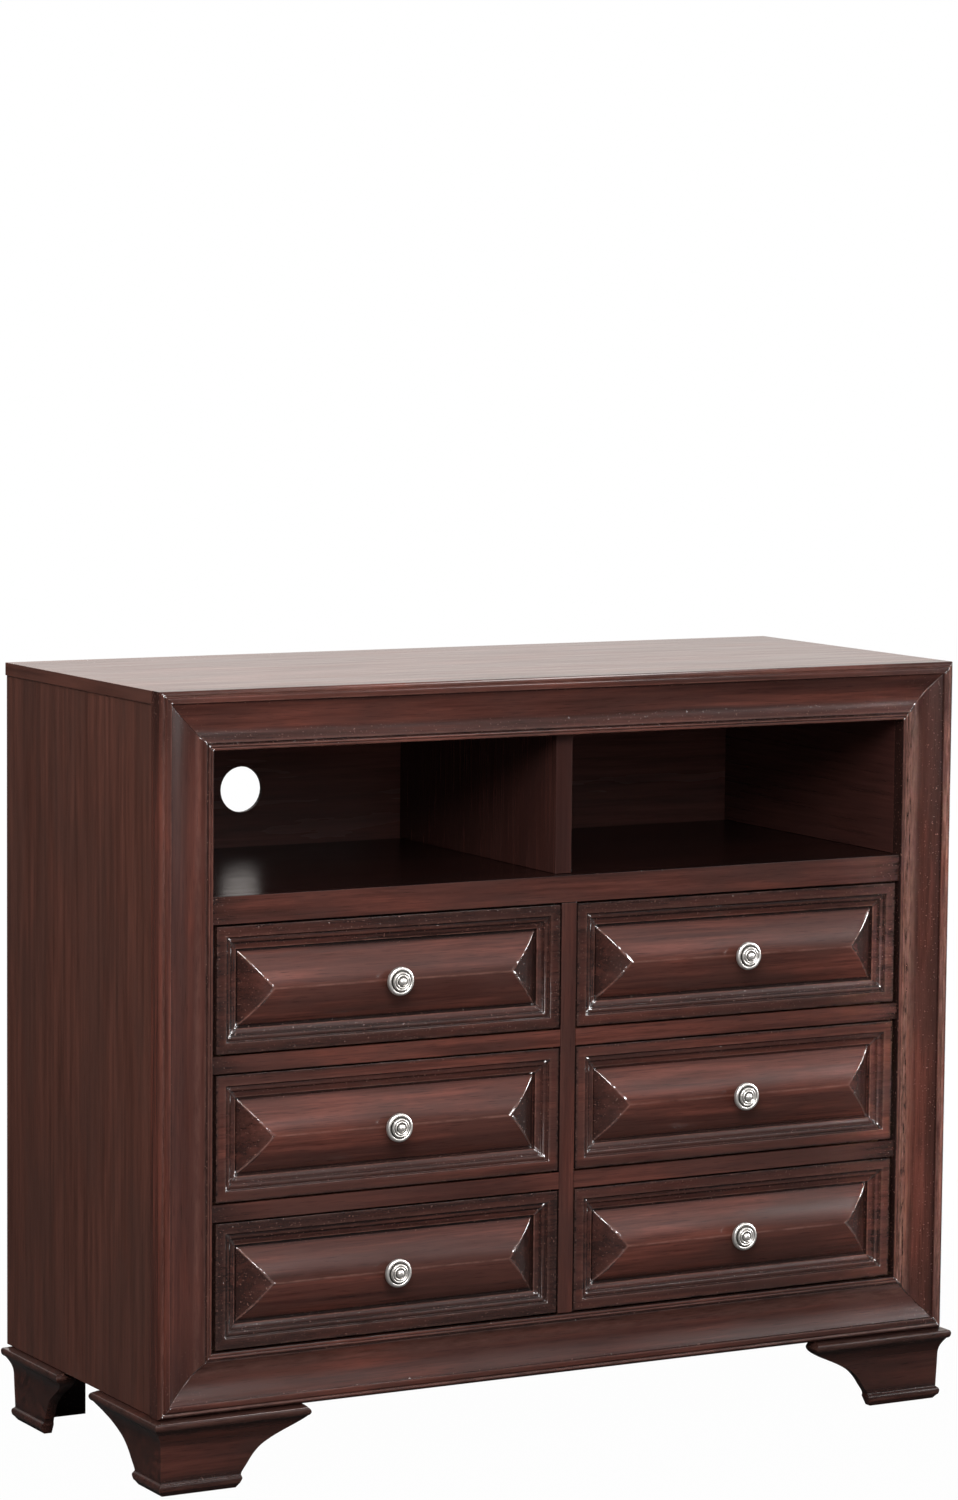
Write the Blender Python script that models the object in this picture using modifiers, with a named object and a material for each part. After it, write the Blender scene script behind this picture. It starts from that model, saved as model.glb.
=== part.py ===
"""A media chest: a moulded front frame, two open bays, six drawers and four bracket feet.

Metres, +Z up.  The chest faces -Y, stands on Z = 0, and is centred on X and Y.
"""

import math

import bmesh
import bpy

# overall sizes
frame_width = 1.160            # across the moulded front frame
top_height = 0.995             # floor to the top's upper face
carcass_depth = 0.4725         # the frame's foremost face to the carcass's rear
foot_height = 0.097            # floor to the underside of the carcass

# moulded front frame
member_width = 0.075           # width of each stile and rail of the frame
frame_thickness = 0.027        # its foremost face to its back

# carcass boards
top_thickness = 0.0168
side_thickness = 0.016
side_inset = 0.002             # the sides stand in from the frame's edge
board_thickness = 0.016        # bottom, liners and centre partition
shelf_thickness = 0.018
back_thickness = 0.006
back_recess = 0.017            # the back panel lies in from the carcass's rear
back_panel_lift = 0.004        # the back panel's lower edge above the carcass's underside

# open bays
bay_height = 0.180             # the shelf's upper face to the frame's opening above
divider_thickness = 0.0235
cable_hole_diameter = 0.061
cable_hole_height = 0.077      # its centre above the shelf
cable_hole_offset = 0.008      # its centre to the right of the left bay's middle

# inner rails and centre stile
inner_set_back = 0.0105        # their front faces behind the frame's foremost face
inner_rail_depth = 0.020
shelf_rail_height = 0.0348
drawer_rail_height = 0.0214
centre_stile_width = 0.022

# drawers
drawer_gap = 0.0026            # above and below each drawer front
drawer_outer_gap = 0.0064      # beside the frame's stiles
drawer_stile_gap = 0.0022      # beside the centre stile
front_thickness = 0.020
front_edge_round = 0.0008
front_band_width = 0.0137      # the flat outer band
front_moulding_width = 0.0160  # the stepped moulding inside the band
front_moulding_drop = 0.0083   # how far the moulding falls behind the band
front_quirk_width = 0.0030     # the sunk line round the raised field
front_quirk_drop = 0.0125
field_edge_rise = 0.0020       # the field's upright edge above the quirk
field_ridge_rise = 0.0095      # the ridge in front of the band
field_hip_run = 0.042          # the field's edge to the end of its ridge
field_ridge_flat = 0.002
box_inset = 0.006              # each box side in from the front's end
box_drop = 0.032               # the box's upper edge below the front's
box_length = 0.400
box_side_thickness = 0.012
box_back_thickness = 0.012
box_bottom_thickness = 0.005
box_bottom_lift = 0.010        # the drawer bottom above the sides' lower edges

# runner frames that carry the drawers
runner_board_thickness = 0.012
runner_board_proud = 0.0005    # the board's upper face above its front rail's
runner_board_start = 0.0205    # the board's front edge behind the inner rails' fronts
runner_rail_depth = 0.036
guide_height = 0.009
guide_clearance = 0.0008
guide_start = 0.045            # front and rear ends of the guides, in from the board's
guide_end = 0.012

# knobs, each with its bolt
knob_radius = 0.0183
knob_length = 0.0225           # the knob's seat to its tip
knob_sides = 20
bolt_radius = 0.002
bolt_hole_radius = 0.0024
bolt_head_radius = 0.0045
bolt_head_height = 0.0026

# bracket feet
foot_inset = 0.005             # the foot's body in from the frame's outer faces
foot_thickness = 0.013         # the body's face to its inner face
foot_cap_projection = 0.0143   # the cap moulding beyond the body
foot_rear_inset = 0.0200       # the rear foot's body in from the carcass's rear
foot_toe = 0.0065              # how far the toe is cut back at the floor
foot_front_waist = 0.110       # the body's corner to the narrowest place of the front arm
foot_front_reach = 0.200       # the body's corner to the front arm's tip
foot_side_waist = 0.077
foot_side_reach = 0.184
foot_rear_waist = 0.095
foot_rear_reach = 0.164
foot_back_arm = 0.095          # length of the plain arm along the rear

fit = 0.0003                   # clearance between pieces that are glued or screwed together
overrun = 0.004                # how far a cutter runs past what it cuts
merge_distance = 0.00002

# the frame's outline: shares of the member's width from its outer edge, and of the thickness
frame_outline_shares = [
    (0.000, 1.000), (0.000, 0.185), (0.020, 0.096), (0.060, 0.059), (0.087, 0.089),
    (0.107, 0.015), (0.127, 0.000), (0.193, 0.000), (0.208, 0.052), (0.219, 0.111),
    (0.293, 0.215), (0.400, 0.326), (0.507, 0.404), (0.613, 0.441), (0.707, 0.430),
    (0.773, 0.367), (0.827, 0.278), (0.867, 0.230), (0.883, 0.293), (0.899, 0.293),
    (0.915, 0.237), (0.941, 0.222), (0.981, 0.241), (1.000, 0.282), (1.000, 1.000),
]
# the foot's section: shares of the cap's projection outwards, and of the foot's height
foot_section_shares = [
    (-0.175, 0.000), (0.175, 0.062), (0.245, 0.093), (0.238, 0.140), (0.030, 0.185),
    (0.000, 0.195), (0.098, 0.630), (0.126, 0.690), (0.224, 0.752), (0.430, 0.812),
    (0.700, 0.860), (0.867, 0.887), (0.990, 0.912), (1.000, 0.940), (0.874, 0.966),
    (0.350, 1.000),
]
# the scroll under a foot's arm: shares of the way from waist to tip, and of the foot's height
foot_scroll_shares = [
    (0.000, 0.130), (0.000, 0.190), (0.080, 0.300), (0.170, 0.420), (0.285, 0.525),
    (0.430, 0.605), (0.585, 0.672), (0.780, 0.752), (0.930, 0.830), (0.995, 0.890),
    (1.000, 0.935), (0.940, 1.000),
]
# the drawer front's moulding: shares of the moulding's width, and of its drop
front_moulding_shares = [(0.050, 0.260), (0.480, 0.530), (0.530, 0.720), (0.970, 1.000)]
# the field swells from its edge to its ridge: how steep it starts, against a straight slope
field_swell_share = 1.5
field_steps = 5
# the knob: shares of its radius, and of its length above the seat
knob_shares = [
    (0.000, 1.000), (0.190, 0.975), (0.300, 0.905), (0.390, 0.885), (0.450, 0.905),
    (0.500, 0.860), (0.600, 0.862), (0.690, 0.780), (0.770, 0.730), (0.890, 0.755),
    (0.985, 0.690), (1.000, 0.620), (0.920, 0.540), (0.520, 0.470), (0.300, 0.360),
    (0.290, 0.160), (0.420, 0.060), (0.420, 0.000),
]

# places worked out from the sizes
half_width = frame_width / 2
knob_reach = knob_length + fit + field_ridge_rise - inner_set_back
front_y = (knob_reach - carcass_depth) / 2
rear_y = front_y + carcass_depth
frame_back_y = front_y + frame_thickness
board_front_y = frame_back_y + fit
inner_y = front_y + inner_set_back
inner_back_y = inner_y + inner_rail_depth
behind_rails_y = max(inner_back_y, frame_back_y) + fit
back_panel_y = rear_y - back_recess - back_thickness
board_back_y = back_panel_y - fit
opening_half = half_width - member_width
opening_top = top_height - member_width
opening_bottom = foot_height + member_width
shelf_top = opening_top - bay_height
shelf_rail_bottom = shelf_top - shelf_rail_height
under_top = top_height - top_thickness - fit
side_inner_x = half_width - side_inset - side_thickness
stile_half = centre_stile_width / 2
partition_half = board_thickness / 2

drawer_rows = 3
row_names = ["top", "middle", "bottom"]
column_sides = {"left": -1, "right": 1}
drawer_width = opening_half - drawer_outer_gap - drawer_stile_gap - stile_half
drawer_centre_x = stile_half + drawer_stile_gap + drawer_width / 2
drawer_band = shelf_rail_bottom - opening_bottom
rail_room = drawer_rail_height + 2 * drawer_gap
drawer_height = (drawer_band - 2 * drawer_gap - (drawer_rows - 1) * rail_room) / drawer_rows
row_pitch = drawer_height + rail_room
box_height = drawer_height + drawer_gap - runner_board_proud - fit - box_drop


def drawer_top(row):
    """Height of the upper edge of a row's drawer fronts."""
    return shelf_rail_bottom - drawer_gap - row * row_pitch


def runner_top(row):
    """Height of the face that a row's drawer boxes run on."""
    return drawer_top(row) - drawer_height - drawer_gap + runner_board_proud


def clear_scene():
    """Remove the objects that the file opened with."""
    for item in list(bpy.data.objects):
        bpy.data.objects.remove(item, do_unlink=True)


def new_collection(name):
    """A collection under the scene's own."""
    group = bpy.data.collections.new(name)
    bpy.context.scene.collection.children.link(group)
    return group


def make_material(name, colour, roughness, metallic=0.0):
    """A Principled material with one colour."""
    material = bpy.data.materials.new(name)
    material.use_nodes = True
    shader = material.node_tree.nodes["Principled BSDF"]
    shader.inputs["Base Color"].default_value = (*colour, 1.0)
    shader.inputs["Roughness"].default_value = roughness
    shader.inputs["Metallic"].default_value = metallic
    material.diffuse_color = (*colour, 1.0)
    return material


def add_part(name, mesh, material, place=(0, 0, 0), parent=None):
    """An object of the chest, at its place under its parent."""
    mesh.materials.clear()
    mesh.materials.append(material)
    item = bpy.data.objects.new(name, mesh)
    parts.objects.link(item)
    item.parent = parent
    item.location = place
    return item


def add_tool(name, mesh, place=(0, 0, 0)):
    """A cutter, or a block that a Boolean joins to a part."""
    item = bpy.data.objects.new(name, mesh)
    tools.objects.link(item)
    item.location = place
    item.display_type = "WIRE"
    item.hide_render = True
    return item


def mesh_from(name, bm):
    """The mesh of a finished bmesh, its faces turned out."""
    bm.normal_update()
    bmesh.ops.recalc_face_normals(bm, faces=bm.faces)
    mesh = bpy.data.meshes.new(name)
    bm.to_mesh(mesh)
    bm.free()
    return mesh


def box_mesh(name, size):
    """A block of the given size, centred on its origin."""
    bm = bmesh.new()
    bmesh.ops.create_cube(bm, size=1)
    bmesh.ops.scale(bm, vec=size, verts=bm.verts)
    return mesh_from(name, bm)


def middle_and_size(low, high):
    """The middle and the size of a block between two corners."""
    middle = [(a + b) / 2 for a, b in zip(low, high)]
    size = [b - a for a, b in zip(low, high)]
    return middle, size


def add_board(name, low, high, material, parent=None, base=(0, 0, 0)):
    """A rectangular board between two corners, given from its parent's place."""
    middle, size = middle_and_size(low, high)
    place = [m - b for m, b in zip(middle, base)]
    return add_part(name, box_mesh(name, size), material, place, parent)


def add_block(name, low, high):
    """A rectangular tool between two corners."""
    middle, size = middle_and_size(low, high)
    return add_tool(name, box_mesh(name, size), middle)


def boolean(item, tool, operation):
    """Cut the tool from a part, or join it."""
    modifier = item.modifiers.new(tool.name, "BOOLEAN")
    modifier.operation = operation
    modifier.solver = "EXACT"
    modifier.object = tool


def evaluated_mesh(item, name):
    """A plain mesh of an object with its modifiers applied."""
    bpy.context.view_layer.update()
    graph = bpy.context.evaluated_depsgraph_get()
    return bpy.data.meshes.new_from_object(item.evaluated_get(graph))


def sweep_mesh(name, outline, rings):
    """A closed bar: the outline at the first ring, drawn out through the others.

    Each ring is a function that turns one point of the outline into a place.
    """
    bm = bmesh.new()
    loop = [bm.verts.new(rings[0](point)) for point in outline]
    edges = list(bm.faces.new(loop).edges)
    for ring in rings[1:]:
        made = bmesh.ops.extrude_edge_only(bm, edges=edges)["geom"]
        fresh = {item for item in made if isinstance(item, bmesh.types.BMVert)}
        following = []
        for vert, point in zip(loop, outline):
            match = [e.other_vert(vert) for e in vert.link_edges if e.other_vert(vert) in fresh][0]
            match.co = ring(point)
            following.append(match)
        edges = [e for e in made if isinstance(e, bmesh.types.BMEdge)
                 and e.verts[0] in fresh and e.verts[1] in fresh]
        loop = following
    bm.faces.new(loop)
    return mesh_from(name, bm)


def outline_mesh(name, outline, thickness):
    """A flat outline in X and Z with its thickness along Y, made from a filled curve."""
    curve = bpy.data.curves.new(name, "CURVE")
    curve.dimensions = "2D"
    curve.fill_mode = "BOTH"
    curve.extrude = thickness / 2
    spline = curve.splines.new("POLY")
    spline.points.add(len(outline) - 1)
    for point, (x, z) in zip(spline.points, outline):
        point.co = (x, z, 0, 1)
    spline.use_cyclic_u = True
    guide = bpy.data.objects.new(name, curve)
    tools.objects.link(guide)
    guide.rotation_euler = (math.pi / 2, 0, 0)
    mesh = evaluated_mesh(guide, name)
    bm = bmesh.new()
    bm.from_mesh(mesh)
    bmesh.ops.transform(bm, matrix=guide.matrix_world, verts=bm.verts)
    bmesh.ops.remove_doubles(bm, verts=bm.verts, dist=merge_distance)
    bpy.data.objects.remove(guide)
    return mesh_from(name, bm)


def make_frame():
    """Four mitred members of one moulding round the front."""
    outline = [(a * member_width, d * frame_thickness) for a, d in frame_outline_shares]
    mitre = fit / math.sqrt(2)

    def rail(side, at_top):
        """The ring at one end of a rail."""
        def place(point):
            across, depth = point
            z = top_height - across if at_top else foot_height + across
            return (side * (half_width - across - mitre), front_y + depth, z)
        return place

    def stile(side, at_top):
        """The ring at one end of a stile."""
        def place(point):
            across, depth = point
            run = across + mitre
            z = top_height - run if at_top else foot_height + run
            return (side * (half_width - across), front_y + depth, z)
        return place

    for name, at_top in (("frame_top_rail", True), ("frame_bottom_rail", False)):
        mesh = sweep_mesh(name, outline, [rail(-1, at_top), rail(1, at_top)])
        add_part(name, mesh, cherry)
    for name, side in (("frame_left_stile", -1), ("frame_right_stile", 1)):
        mesh = sweep_mesh(name, outline, [stile(side, False), stile(side, True)])
        add_part(name, mesh, cherry)


def make_carcass():
    """Top, sides, bottom, back, centre partition and shelf."""
    add_board("top_panel", (-half_width, board_front_y, top_height - top_thickness),
              (half_width, rear_y, top_height), cherry)
    for name, side in (("side_panel_left", -1), ("side_panel_right", 1)):
        ends = sorted((side * side_inner_x, side * (half_width - side_inset)))
        add_board(name, (ends[0], board_front_y, foot_height), (ends[1], rear_y, under_top), cherry_side)

    inner = side_inner_x - fit
    bottom_top = runner_top(drawer_rows - 1)
    bottom = add_board("bottom_panel", (-inner, board_front_y, bottom_top - board_thickness),
                       (inner, board_back_y, bottom_top), secondary)
    for side in (-1, 1):
        join_guides(bottom, "bottom_panel", side, bottom_top)

    add_board("shelf_board", (-inner, behind_rails_y, shelf_top - shelf_thickness),
              (inner, board_back_y, shelf_top), bay_wood)
    add_board("centre_partition",
              (-partition_half, behind_rails_y, bottom_top + fit),
              (partition_half, board_back_y, shelf_top - shelf_thickness - fit), secondary)

    back = add_board("back_panel", (-inner, back_panel_y, foot_height + back_panel_lift),
                     (inner, back_panel_y + back_thickness, under_top), bay_wood)
    bm = bmesh.new()
    bmesh.ops.create_cone(bm, cap_ends=True, segments=32, radius1=cable_hole_diameter / 2,
                          radius2=cable_hole_diameter / 2, depth=back_thickness + 2 * overrun)
    hole = add_tool("cable_hole_cutter", mesh_from("cable_hole_cutter", bm))
    bay_half = (opening_half - divider_thickness / 2) / 2
    hole.location = (cable_hole_offset - divider_thickness / 2 - bay_half,
                     back_panel_y + back_thickness / 2, shelf_top + cable_hole_height)
    hole.rotation_euler = (math.pi / 2, 0, 0)
    boolean(back, hole, "DIFFERENCE")


def make_bays():
    """The divider between the bays and the liners that close their outer ends."""
    low_z = shelf_top + fit
    add_board("bay_divider", (-divider_thickness / 2, board_front_y, low_z),
              (divider_thickness / 2, board_back_y, under_top), bay_wood)
    for name, side in (("bay_liner_left", -1), ("bay_liner_right", 1)):
        ends = sorted((side * opening_half, side * (opening_half + board_thickness)))
        add_board(name, (ends[0], board_front_y, low_z), (ends[1], board_back_y, under_top), bay_wood)


def make_inner_rails():
    """The shelf's front rail and the stile between the drawer columns."""
    reach = opening_half - fit
    add_board("shelf_front_rail", (-reach, inner_y, shelf_rail_bottom), (reach, inner_back_y, shelf_top), cherry)
    add_board("centre_stile", (-stile_half, inner_y, runner_top(drawer_rows - 1) + fit),
              (stile_half, inner_back_y, shelf_rail_bottom - fit), cherry)


def join_guides(item, name, side, top):
    """Two low strips that keep one drawer box straight, joined to the board under it."""
    box_half = drawer_width / 2 - box_inset + guide_clearance
    outer_end = drawer_centre_x + box_half
    inner_end = drawer_centre_x - box_half
    inner_wall = partition_half + fit
    strips = [(outer_end, outer_end + box_side_thickness), (inner_wall + fit, inner_end)]
    for number, (near, far) in enumerate(strips):
        ends = sorted((side * near, side * far))
        block = add_block(f"{name}_guide_{side}_{number}",
                          (ends[0], behind_rails_y + guide_start, top - runner_board_thickness / 2),
                          (ends[1], board_back_y - guide_end, top + guide_height))
        boolean(item, block, "UNION")


def make_runner_frames():
    """The boards between the rows, each with the rail that shows between two drawers."""
    for row, level in ((0, "upper"), (1, "lower")):
        top = runner_top(row)
        for column, side in column_sides.items():
            name = f"runner_frame_{level}_{column}"
            ends = sorted((side * (partition_half + fit), side * (side_inner_x - fit)))
            board = add_board(name, (ends[0], behind_rails_y, top - runner_board_thickness),
                              (ends[1], board_back_y, top), cherry)
            rail_top = top - runner_board_proud
            rail_ends = sorted((side * (stile_half + fit), side * (opening_half - fit)))
            rail = add_block(name + "_rail", (rail_ends[0], inner_y, rail_top - drawer_rail_height),
                             (rail_ends[1], inner_y + runner_rail_depth, rail_top))
            boolean(board, rail, "UNION")
            join_guides(board, name, side, top)


def front_rings():
    """The drawer front from its back to its ridge: run in from the ends, run in from
    the upper and lower edges, and depth behind the band."""
    moulding_end = front_band_width + front_moulding_width
    field_start = moulding_end + front_quirk_width
    rings = [(0, 0, front_thickness), (0, 0, front_edge_round),
             (front_edge_round, front_edge_round, 0), (front_band_width, front_band_width, 0)]
    for across, drop in front_moulding_shares:
        run = front_band_width + across * front_moulding_width
        rings.append((run, run, drop * front_moulding_drop))
    rings.append((moulding_end, moulding_end, front_quirk_drop))
    rings.append((field_start, field_start, front_quirk_drop))
    edge_depth = front_quirk_drop - field_edge_rise
    rise = edge_depth + field_ridge_rise
    half = drawer_height / 2 - field_ridge_flat / 2
    for step in range(field_steps + 1):
        share = step / field_steps
        lift = field_swell_share * share - (field_swell_share - 1) * share * share
        rings.append((field_start + share * field_hip_run, field_start + share * (half - field_start),
                      edge_depth - lift * rise))
    return rings


def drawer_front_mesh():
    """A drawer front with its bolt hole, its band's plane on Y = 0."""
    corners = [(-1, -1), (1, -1), (1, 1), (-1, 1)]

    def ring(values):
        run_x, run_z, depth = values
        return lambda corner: (corner[0] * (drawer_width / 2 - run_x), depth,
                               corner[1] * (drawer_height / 2 - run_z))

    mesh = sweep_mesh("drawer_front_blank", corners, [ring(values) for values in front_rings()])
    blank = add_tool("drawer_front_blank", mesh)
    bm = bmesh.new()
    reach = front_thickness + field_ridge_rise + 2 * overrun
    bmesh.ops.create_cone(bm, cap_ends=True, segments=12, radius1=bolt_hole_radius,
                          radius2=bolt_hole_radius, depth=reach)
    hole = add_tool("bolt_hole_cutter", mesh_from("bolt_hole_cutter", bm))
    hole.location = (0, (front_thickness - field_ridge_rise) / 2, 0)
    hole.rotation_euler = (math.pi / 2, 0, 0)
    boolean(blank, hole, "DIFFERENCE")
    finished = evaluated_mesh(blank, "drawer_front")
    bpy.data.objects.remove(blank)
    bpy.data.objects.remove(hole)
    return finished


def knob_mesh():
    """A turned knob and its bolt, on +Z, with the knob's seat on Z = 0."""
    grip = field_ridge_rise + front_thickness + 2 * fit
    points = [(r * knob_radius, h * knob_length) for r, h in knob_shares]
    points += [(bolt_radius, 0), (bolt_radius, -grip), (bolt_head_radius, -grip),
               (bolt_head_radius, -grip - bolt_head_height), (0, -grip - bolt_head_height)]
    mesh = bpy.data.meshes.new("knob_profile")
    edges = [(i, i + 1) for i in range(len(points) - 1)]
    mesh.from_pydata([(r, 0, h) for r, h in points], edges, [])
    profile = add_tool("knob_profile", mesh)
    screw = profile.modifiers.new("turn", "SCREW")
    screw.axis = "Z"
    screw.steps = knob_sides
    screw.render_steps = knob_sides
    screw.use_merge_vertices = True
    screw.merge_threshold = merge_distance
    turned = evaluated_mesh(profile, "knob")
    turned.shade_smooth()
    turned.set_sharp_from_angle(angle=math.radians(40))
    bpy.data.objects.remove(profile)
    return turned


def make_drawers():
    """Six drawers, each a front, two sides, a back, a bottom and a knob on one empty."""
    front = drawer_front_mesh()
    knob = knob_mesh()
    half = drawer_width / 2 - box_inset
    inner_half = half - box_side_thickness
    sides_start = front_thickness + fit
    for column, side in column_sides.items():
        for row, row_name in enumerate(row_names):
            name = f"drawer_{column}_{row_name}"
            centre_z = drawer_top(row) - drawer_height / 2
            holder = bpy.data.objects.new(name + "_slide", None)
            parts.objects.link(holder)
            holder.location = (side * drawer_centre_x, inner_y, centre_z)
            add_part(name + "_front", front.copy(), cherry, parent=holder)
            low = runner_top(row) + fit - centre_z
            high = low + box_height
            for hand, sign in (("left", -1), ("right", 1)):
                ends = sorted((sign * inner_half, sign * half))
                add_board(f"{name}_side_{hand}", (ends[0], sides_start, low),
                          (ends[1], sides_start + box_length, high), secondary, holder)
            fitted = inner_half - fit
            back_start = sides_start + box_length - box_back_thickness
            add_board(name + "_back", (-fitted, back_start, low + box_bottom_lift),
                      (fitted, sides_start + box_length, high), secondary, holder)
            bottom_low = low + box_bottom_lift
            add_board(name + "_bottom", (-fitted, sides_start, bottom_low),
                      (fitted, back_start - fit, bottom_low + box_bottom_thickness), secondary, holder)
            place = (0, -field_ridge_rise - fit, 0)
            turned = add_part(name + "_knob", knob.copy(), nickel, place, holder)
            turned.rotation_euler = (math.pi / 2, 0, 0)


def scroll_outline(waist, reach):
    """What is cut away under a foot's arm, as runs along the arm and heights."""
    far = reach + 2 * overrun
    low = -overrun
    points = [(waist - foot_toe, low), (waist - foot_toe, 0)]
    points += [(waist + a * (reach - waist), h * foot_height) for a, h in foot_scroll_shares]
    points += [(points[-1][0], foot_height + overrun), (far, foot_height + overrun), (far, low)]
    return points


def add_scroll_cutter(name, outline, corner, along, outward):
    """A cutter with the scroll's outline, across one arm of a foot."""
    thickness = foot_thickness + foot_cap_projection + 2 * overrun
    mesh = outline_mesh(name, outline, thickness)
    middle = (foot_cap_projection - foot_thickness) / 2
    bm = bmesh.new()
    bm.from_mesh(mesh)
    for vert in bm.verts:
        run, across, height = vert.co
        vert.co = (corner[0] + along[0] * run + outward[0] * (middle + across),
                   corner[1] + along[1] * run + outward[1] * (middle + across), height)
    return add_tool(name, mesh_from(name, bm))


def add_foot(name, corner, arms, cuts):
    """A bracket foot: one section drawn along two arms that meet in a mitre.

    An arm is its direction, the outward direction of its face and its length.
    """
    section = [(o * foot_cap_projection, h * (foot_height - fit)) for o, h in foot_section_shares]
    section += [(-foot_thickness, foot_height - fit), (-foot_thickness, 0)]

    def end_ring(arm):
        along, outward, length = arm
        return lambda p: (corner[0] + along[0] * length + outward[0] * p[0],
                          corner[1] + along[1] * length + outward[1] * p[0], p[1])

    def corner_ring(point):
        out_x = arms[0][1][0] + arms[1][1][0]
        out_y = arms[0][1][1] + arms[1][1][1]
        return (corner[0] + out_x * point[0], corner[1] + out_y * point[0], point[1])

    mesh = sweep_mesh(name, section, [end_ring(arms[0]), corner_ring, end_ring(arms[1])])
    foot = add_part(name, mesh, cherry)
    for number, (arm, waist, reach) in enumerate(cuts):
        cutter = add_scroll_cutter(f"{name}_scroll_{number}", scroll_outline(waist, reach),
                                   corner, arm[0], arm[1])
        boolean(foot, cutter, "DIFFERENCE")


def make_feet():
    """Four bracket feet; the rear ones have a plain arm along the back."""
    for name, side in (("left", -1), ("right", 1)):
        inwards = (-side, 0)
        outwards = (side, 0)
        corner = (side * (half_width - foot_inset), front_y + foot_inset)
        front_arm = (inwards, (0, -1), foot_front_reach + overrun)
        side_arm = ((0, 1), outwards, foot_side_reach + overrun)
        add_foot(f"foot_front_{name}", corner, [front_arm, side_arm],
                 [(front_arm, foot_front_waist, foot_front_reach),
                  (side_arm, foot_side_waist, foot_side_reach)])
        corner = (side * (half_width - foot_inset), rear_y - foot_rear_inset)
        back_arm = (inwards, (0, 1), foot_back_arm)
        side_arm = ((0, -1), outwards, foot_rear_reach + overrun)
        add_foot(f"foot_back_{name}", corner, [back_arm, side_arm],
                 [(side_arm, foot_rear_waist, foot_rear_reach)])


clear_scene()
parts = new_collection("media_chest")
tools = new_collection("media_chest_tools")
cherry = make_material("dark_cherry", (0.085, 0.026, 0.018), 0.32)
cherry_side = make_material("dark_cherry_side", (0.060, 0.024, 0.018), 0.38)
bay_wood = make_material("dark_cherry_bay", (0.040, 0.015, 0.012), 0.40)
secondary = make_material("drawer_box_wood", (0.42, 0.27, 0.15), 0.55)
nickel = make_material("brushed_nickel", (0.62, 0.59, 0.56), 0.30, 1.0)
make_carcass()
make_bays()
make_frame()
make_inner_rails()
make_runner_frames()
make_drawers()
make_feet()
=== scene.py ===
"""A media chest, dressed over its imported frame.

Lengths are in metres.  The chest faces -Y and stands on Z = 0.
"""

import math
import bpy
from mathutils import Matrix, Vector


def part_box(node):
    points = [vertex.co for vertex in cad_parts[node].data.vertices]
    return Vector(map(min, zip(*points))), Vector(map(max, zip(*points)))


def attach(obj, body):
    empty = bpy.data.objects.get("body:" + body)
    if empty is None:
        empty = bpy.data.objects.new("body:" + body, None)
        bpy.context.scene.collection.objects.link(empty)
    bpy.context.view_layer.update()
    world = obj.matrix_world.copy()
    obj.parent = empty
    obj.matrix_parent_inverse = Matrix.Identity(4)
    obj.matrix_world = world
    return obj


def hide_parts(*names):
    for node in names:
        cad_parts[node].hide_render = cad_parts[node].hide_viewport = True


bl_info = {
    "name": "Media Chest",
    "version": (1, 0, 0),
    "blender": (4, 5, 0),
    "location": "View3D > Sidebar > Chest",
    "description": "Models a media chest in dark cherry, with its room and camera",
    "category": "Add Mesh",
}

from functools import partialmethod

import bmesh
import bpy
from mathutils import Matrix, Vector

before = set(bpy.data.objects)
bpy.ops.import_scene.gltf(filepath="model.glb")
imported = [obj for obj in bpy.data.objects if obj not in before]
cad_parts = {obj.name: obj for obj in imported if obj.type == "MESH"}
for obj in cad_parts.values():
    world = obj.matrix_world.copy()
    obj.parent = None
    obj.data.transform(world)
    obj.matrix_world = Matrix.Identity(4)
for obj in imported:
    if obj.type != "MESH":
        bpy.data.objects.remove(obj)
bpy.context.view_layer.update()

COLUMNS = ("left", "right")
DRAWERS = [f"drawer_{column}_{row}" for column in COLUMNS for row in ("top", "middle", "bottom")]
# Between neighbouring pieces
CLEARANCE = 0.0003
# Smallest distances: between places, between an outline's points, of doubled points and at a cut
SAME = 0.0001
OUTLINE_STEP = 0.00002
DOUBLED = 0.000005
AT_CUT = 0.000002
# A face's normal rises more than this where it faces up
FACES_UP = 0.9


# Sizes and colours that a user would change

def length(name, description, default):
    """A length property, in metres."""
    return bpy.props.FloatProperty(name=name, description=description, default=default, min=0.0,
                                   precision=4, unit="LENGTH", subtype="DISTANCE")


def share(name, description, default):
    """A property that runs from nought to one."""
    return bpy.props.FloatProperty(name=name, description=description, default=default, min=0.0, max=1.0,
                                   subtype="FACTOR")


def colour(name, description, default):
    """A colour property."""
    return bpy.props.FloatVectorProperty(name=name, description=description, default=default, size=3,
                                         min=0.0, max=1.0, subtype="COLOR")


def angle(name, description, degrees):
    """An angle property."""
    return bpy.props.FloatProperty(name=name, description=description, default=math.radians(degrees),
                                   unit="ROTATION", subtype="ANGLE")


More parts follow.
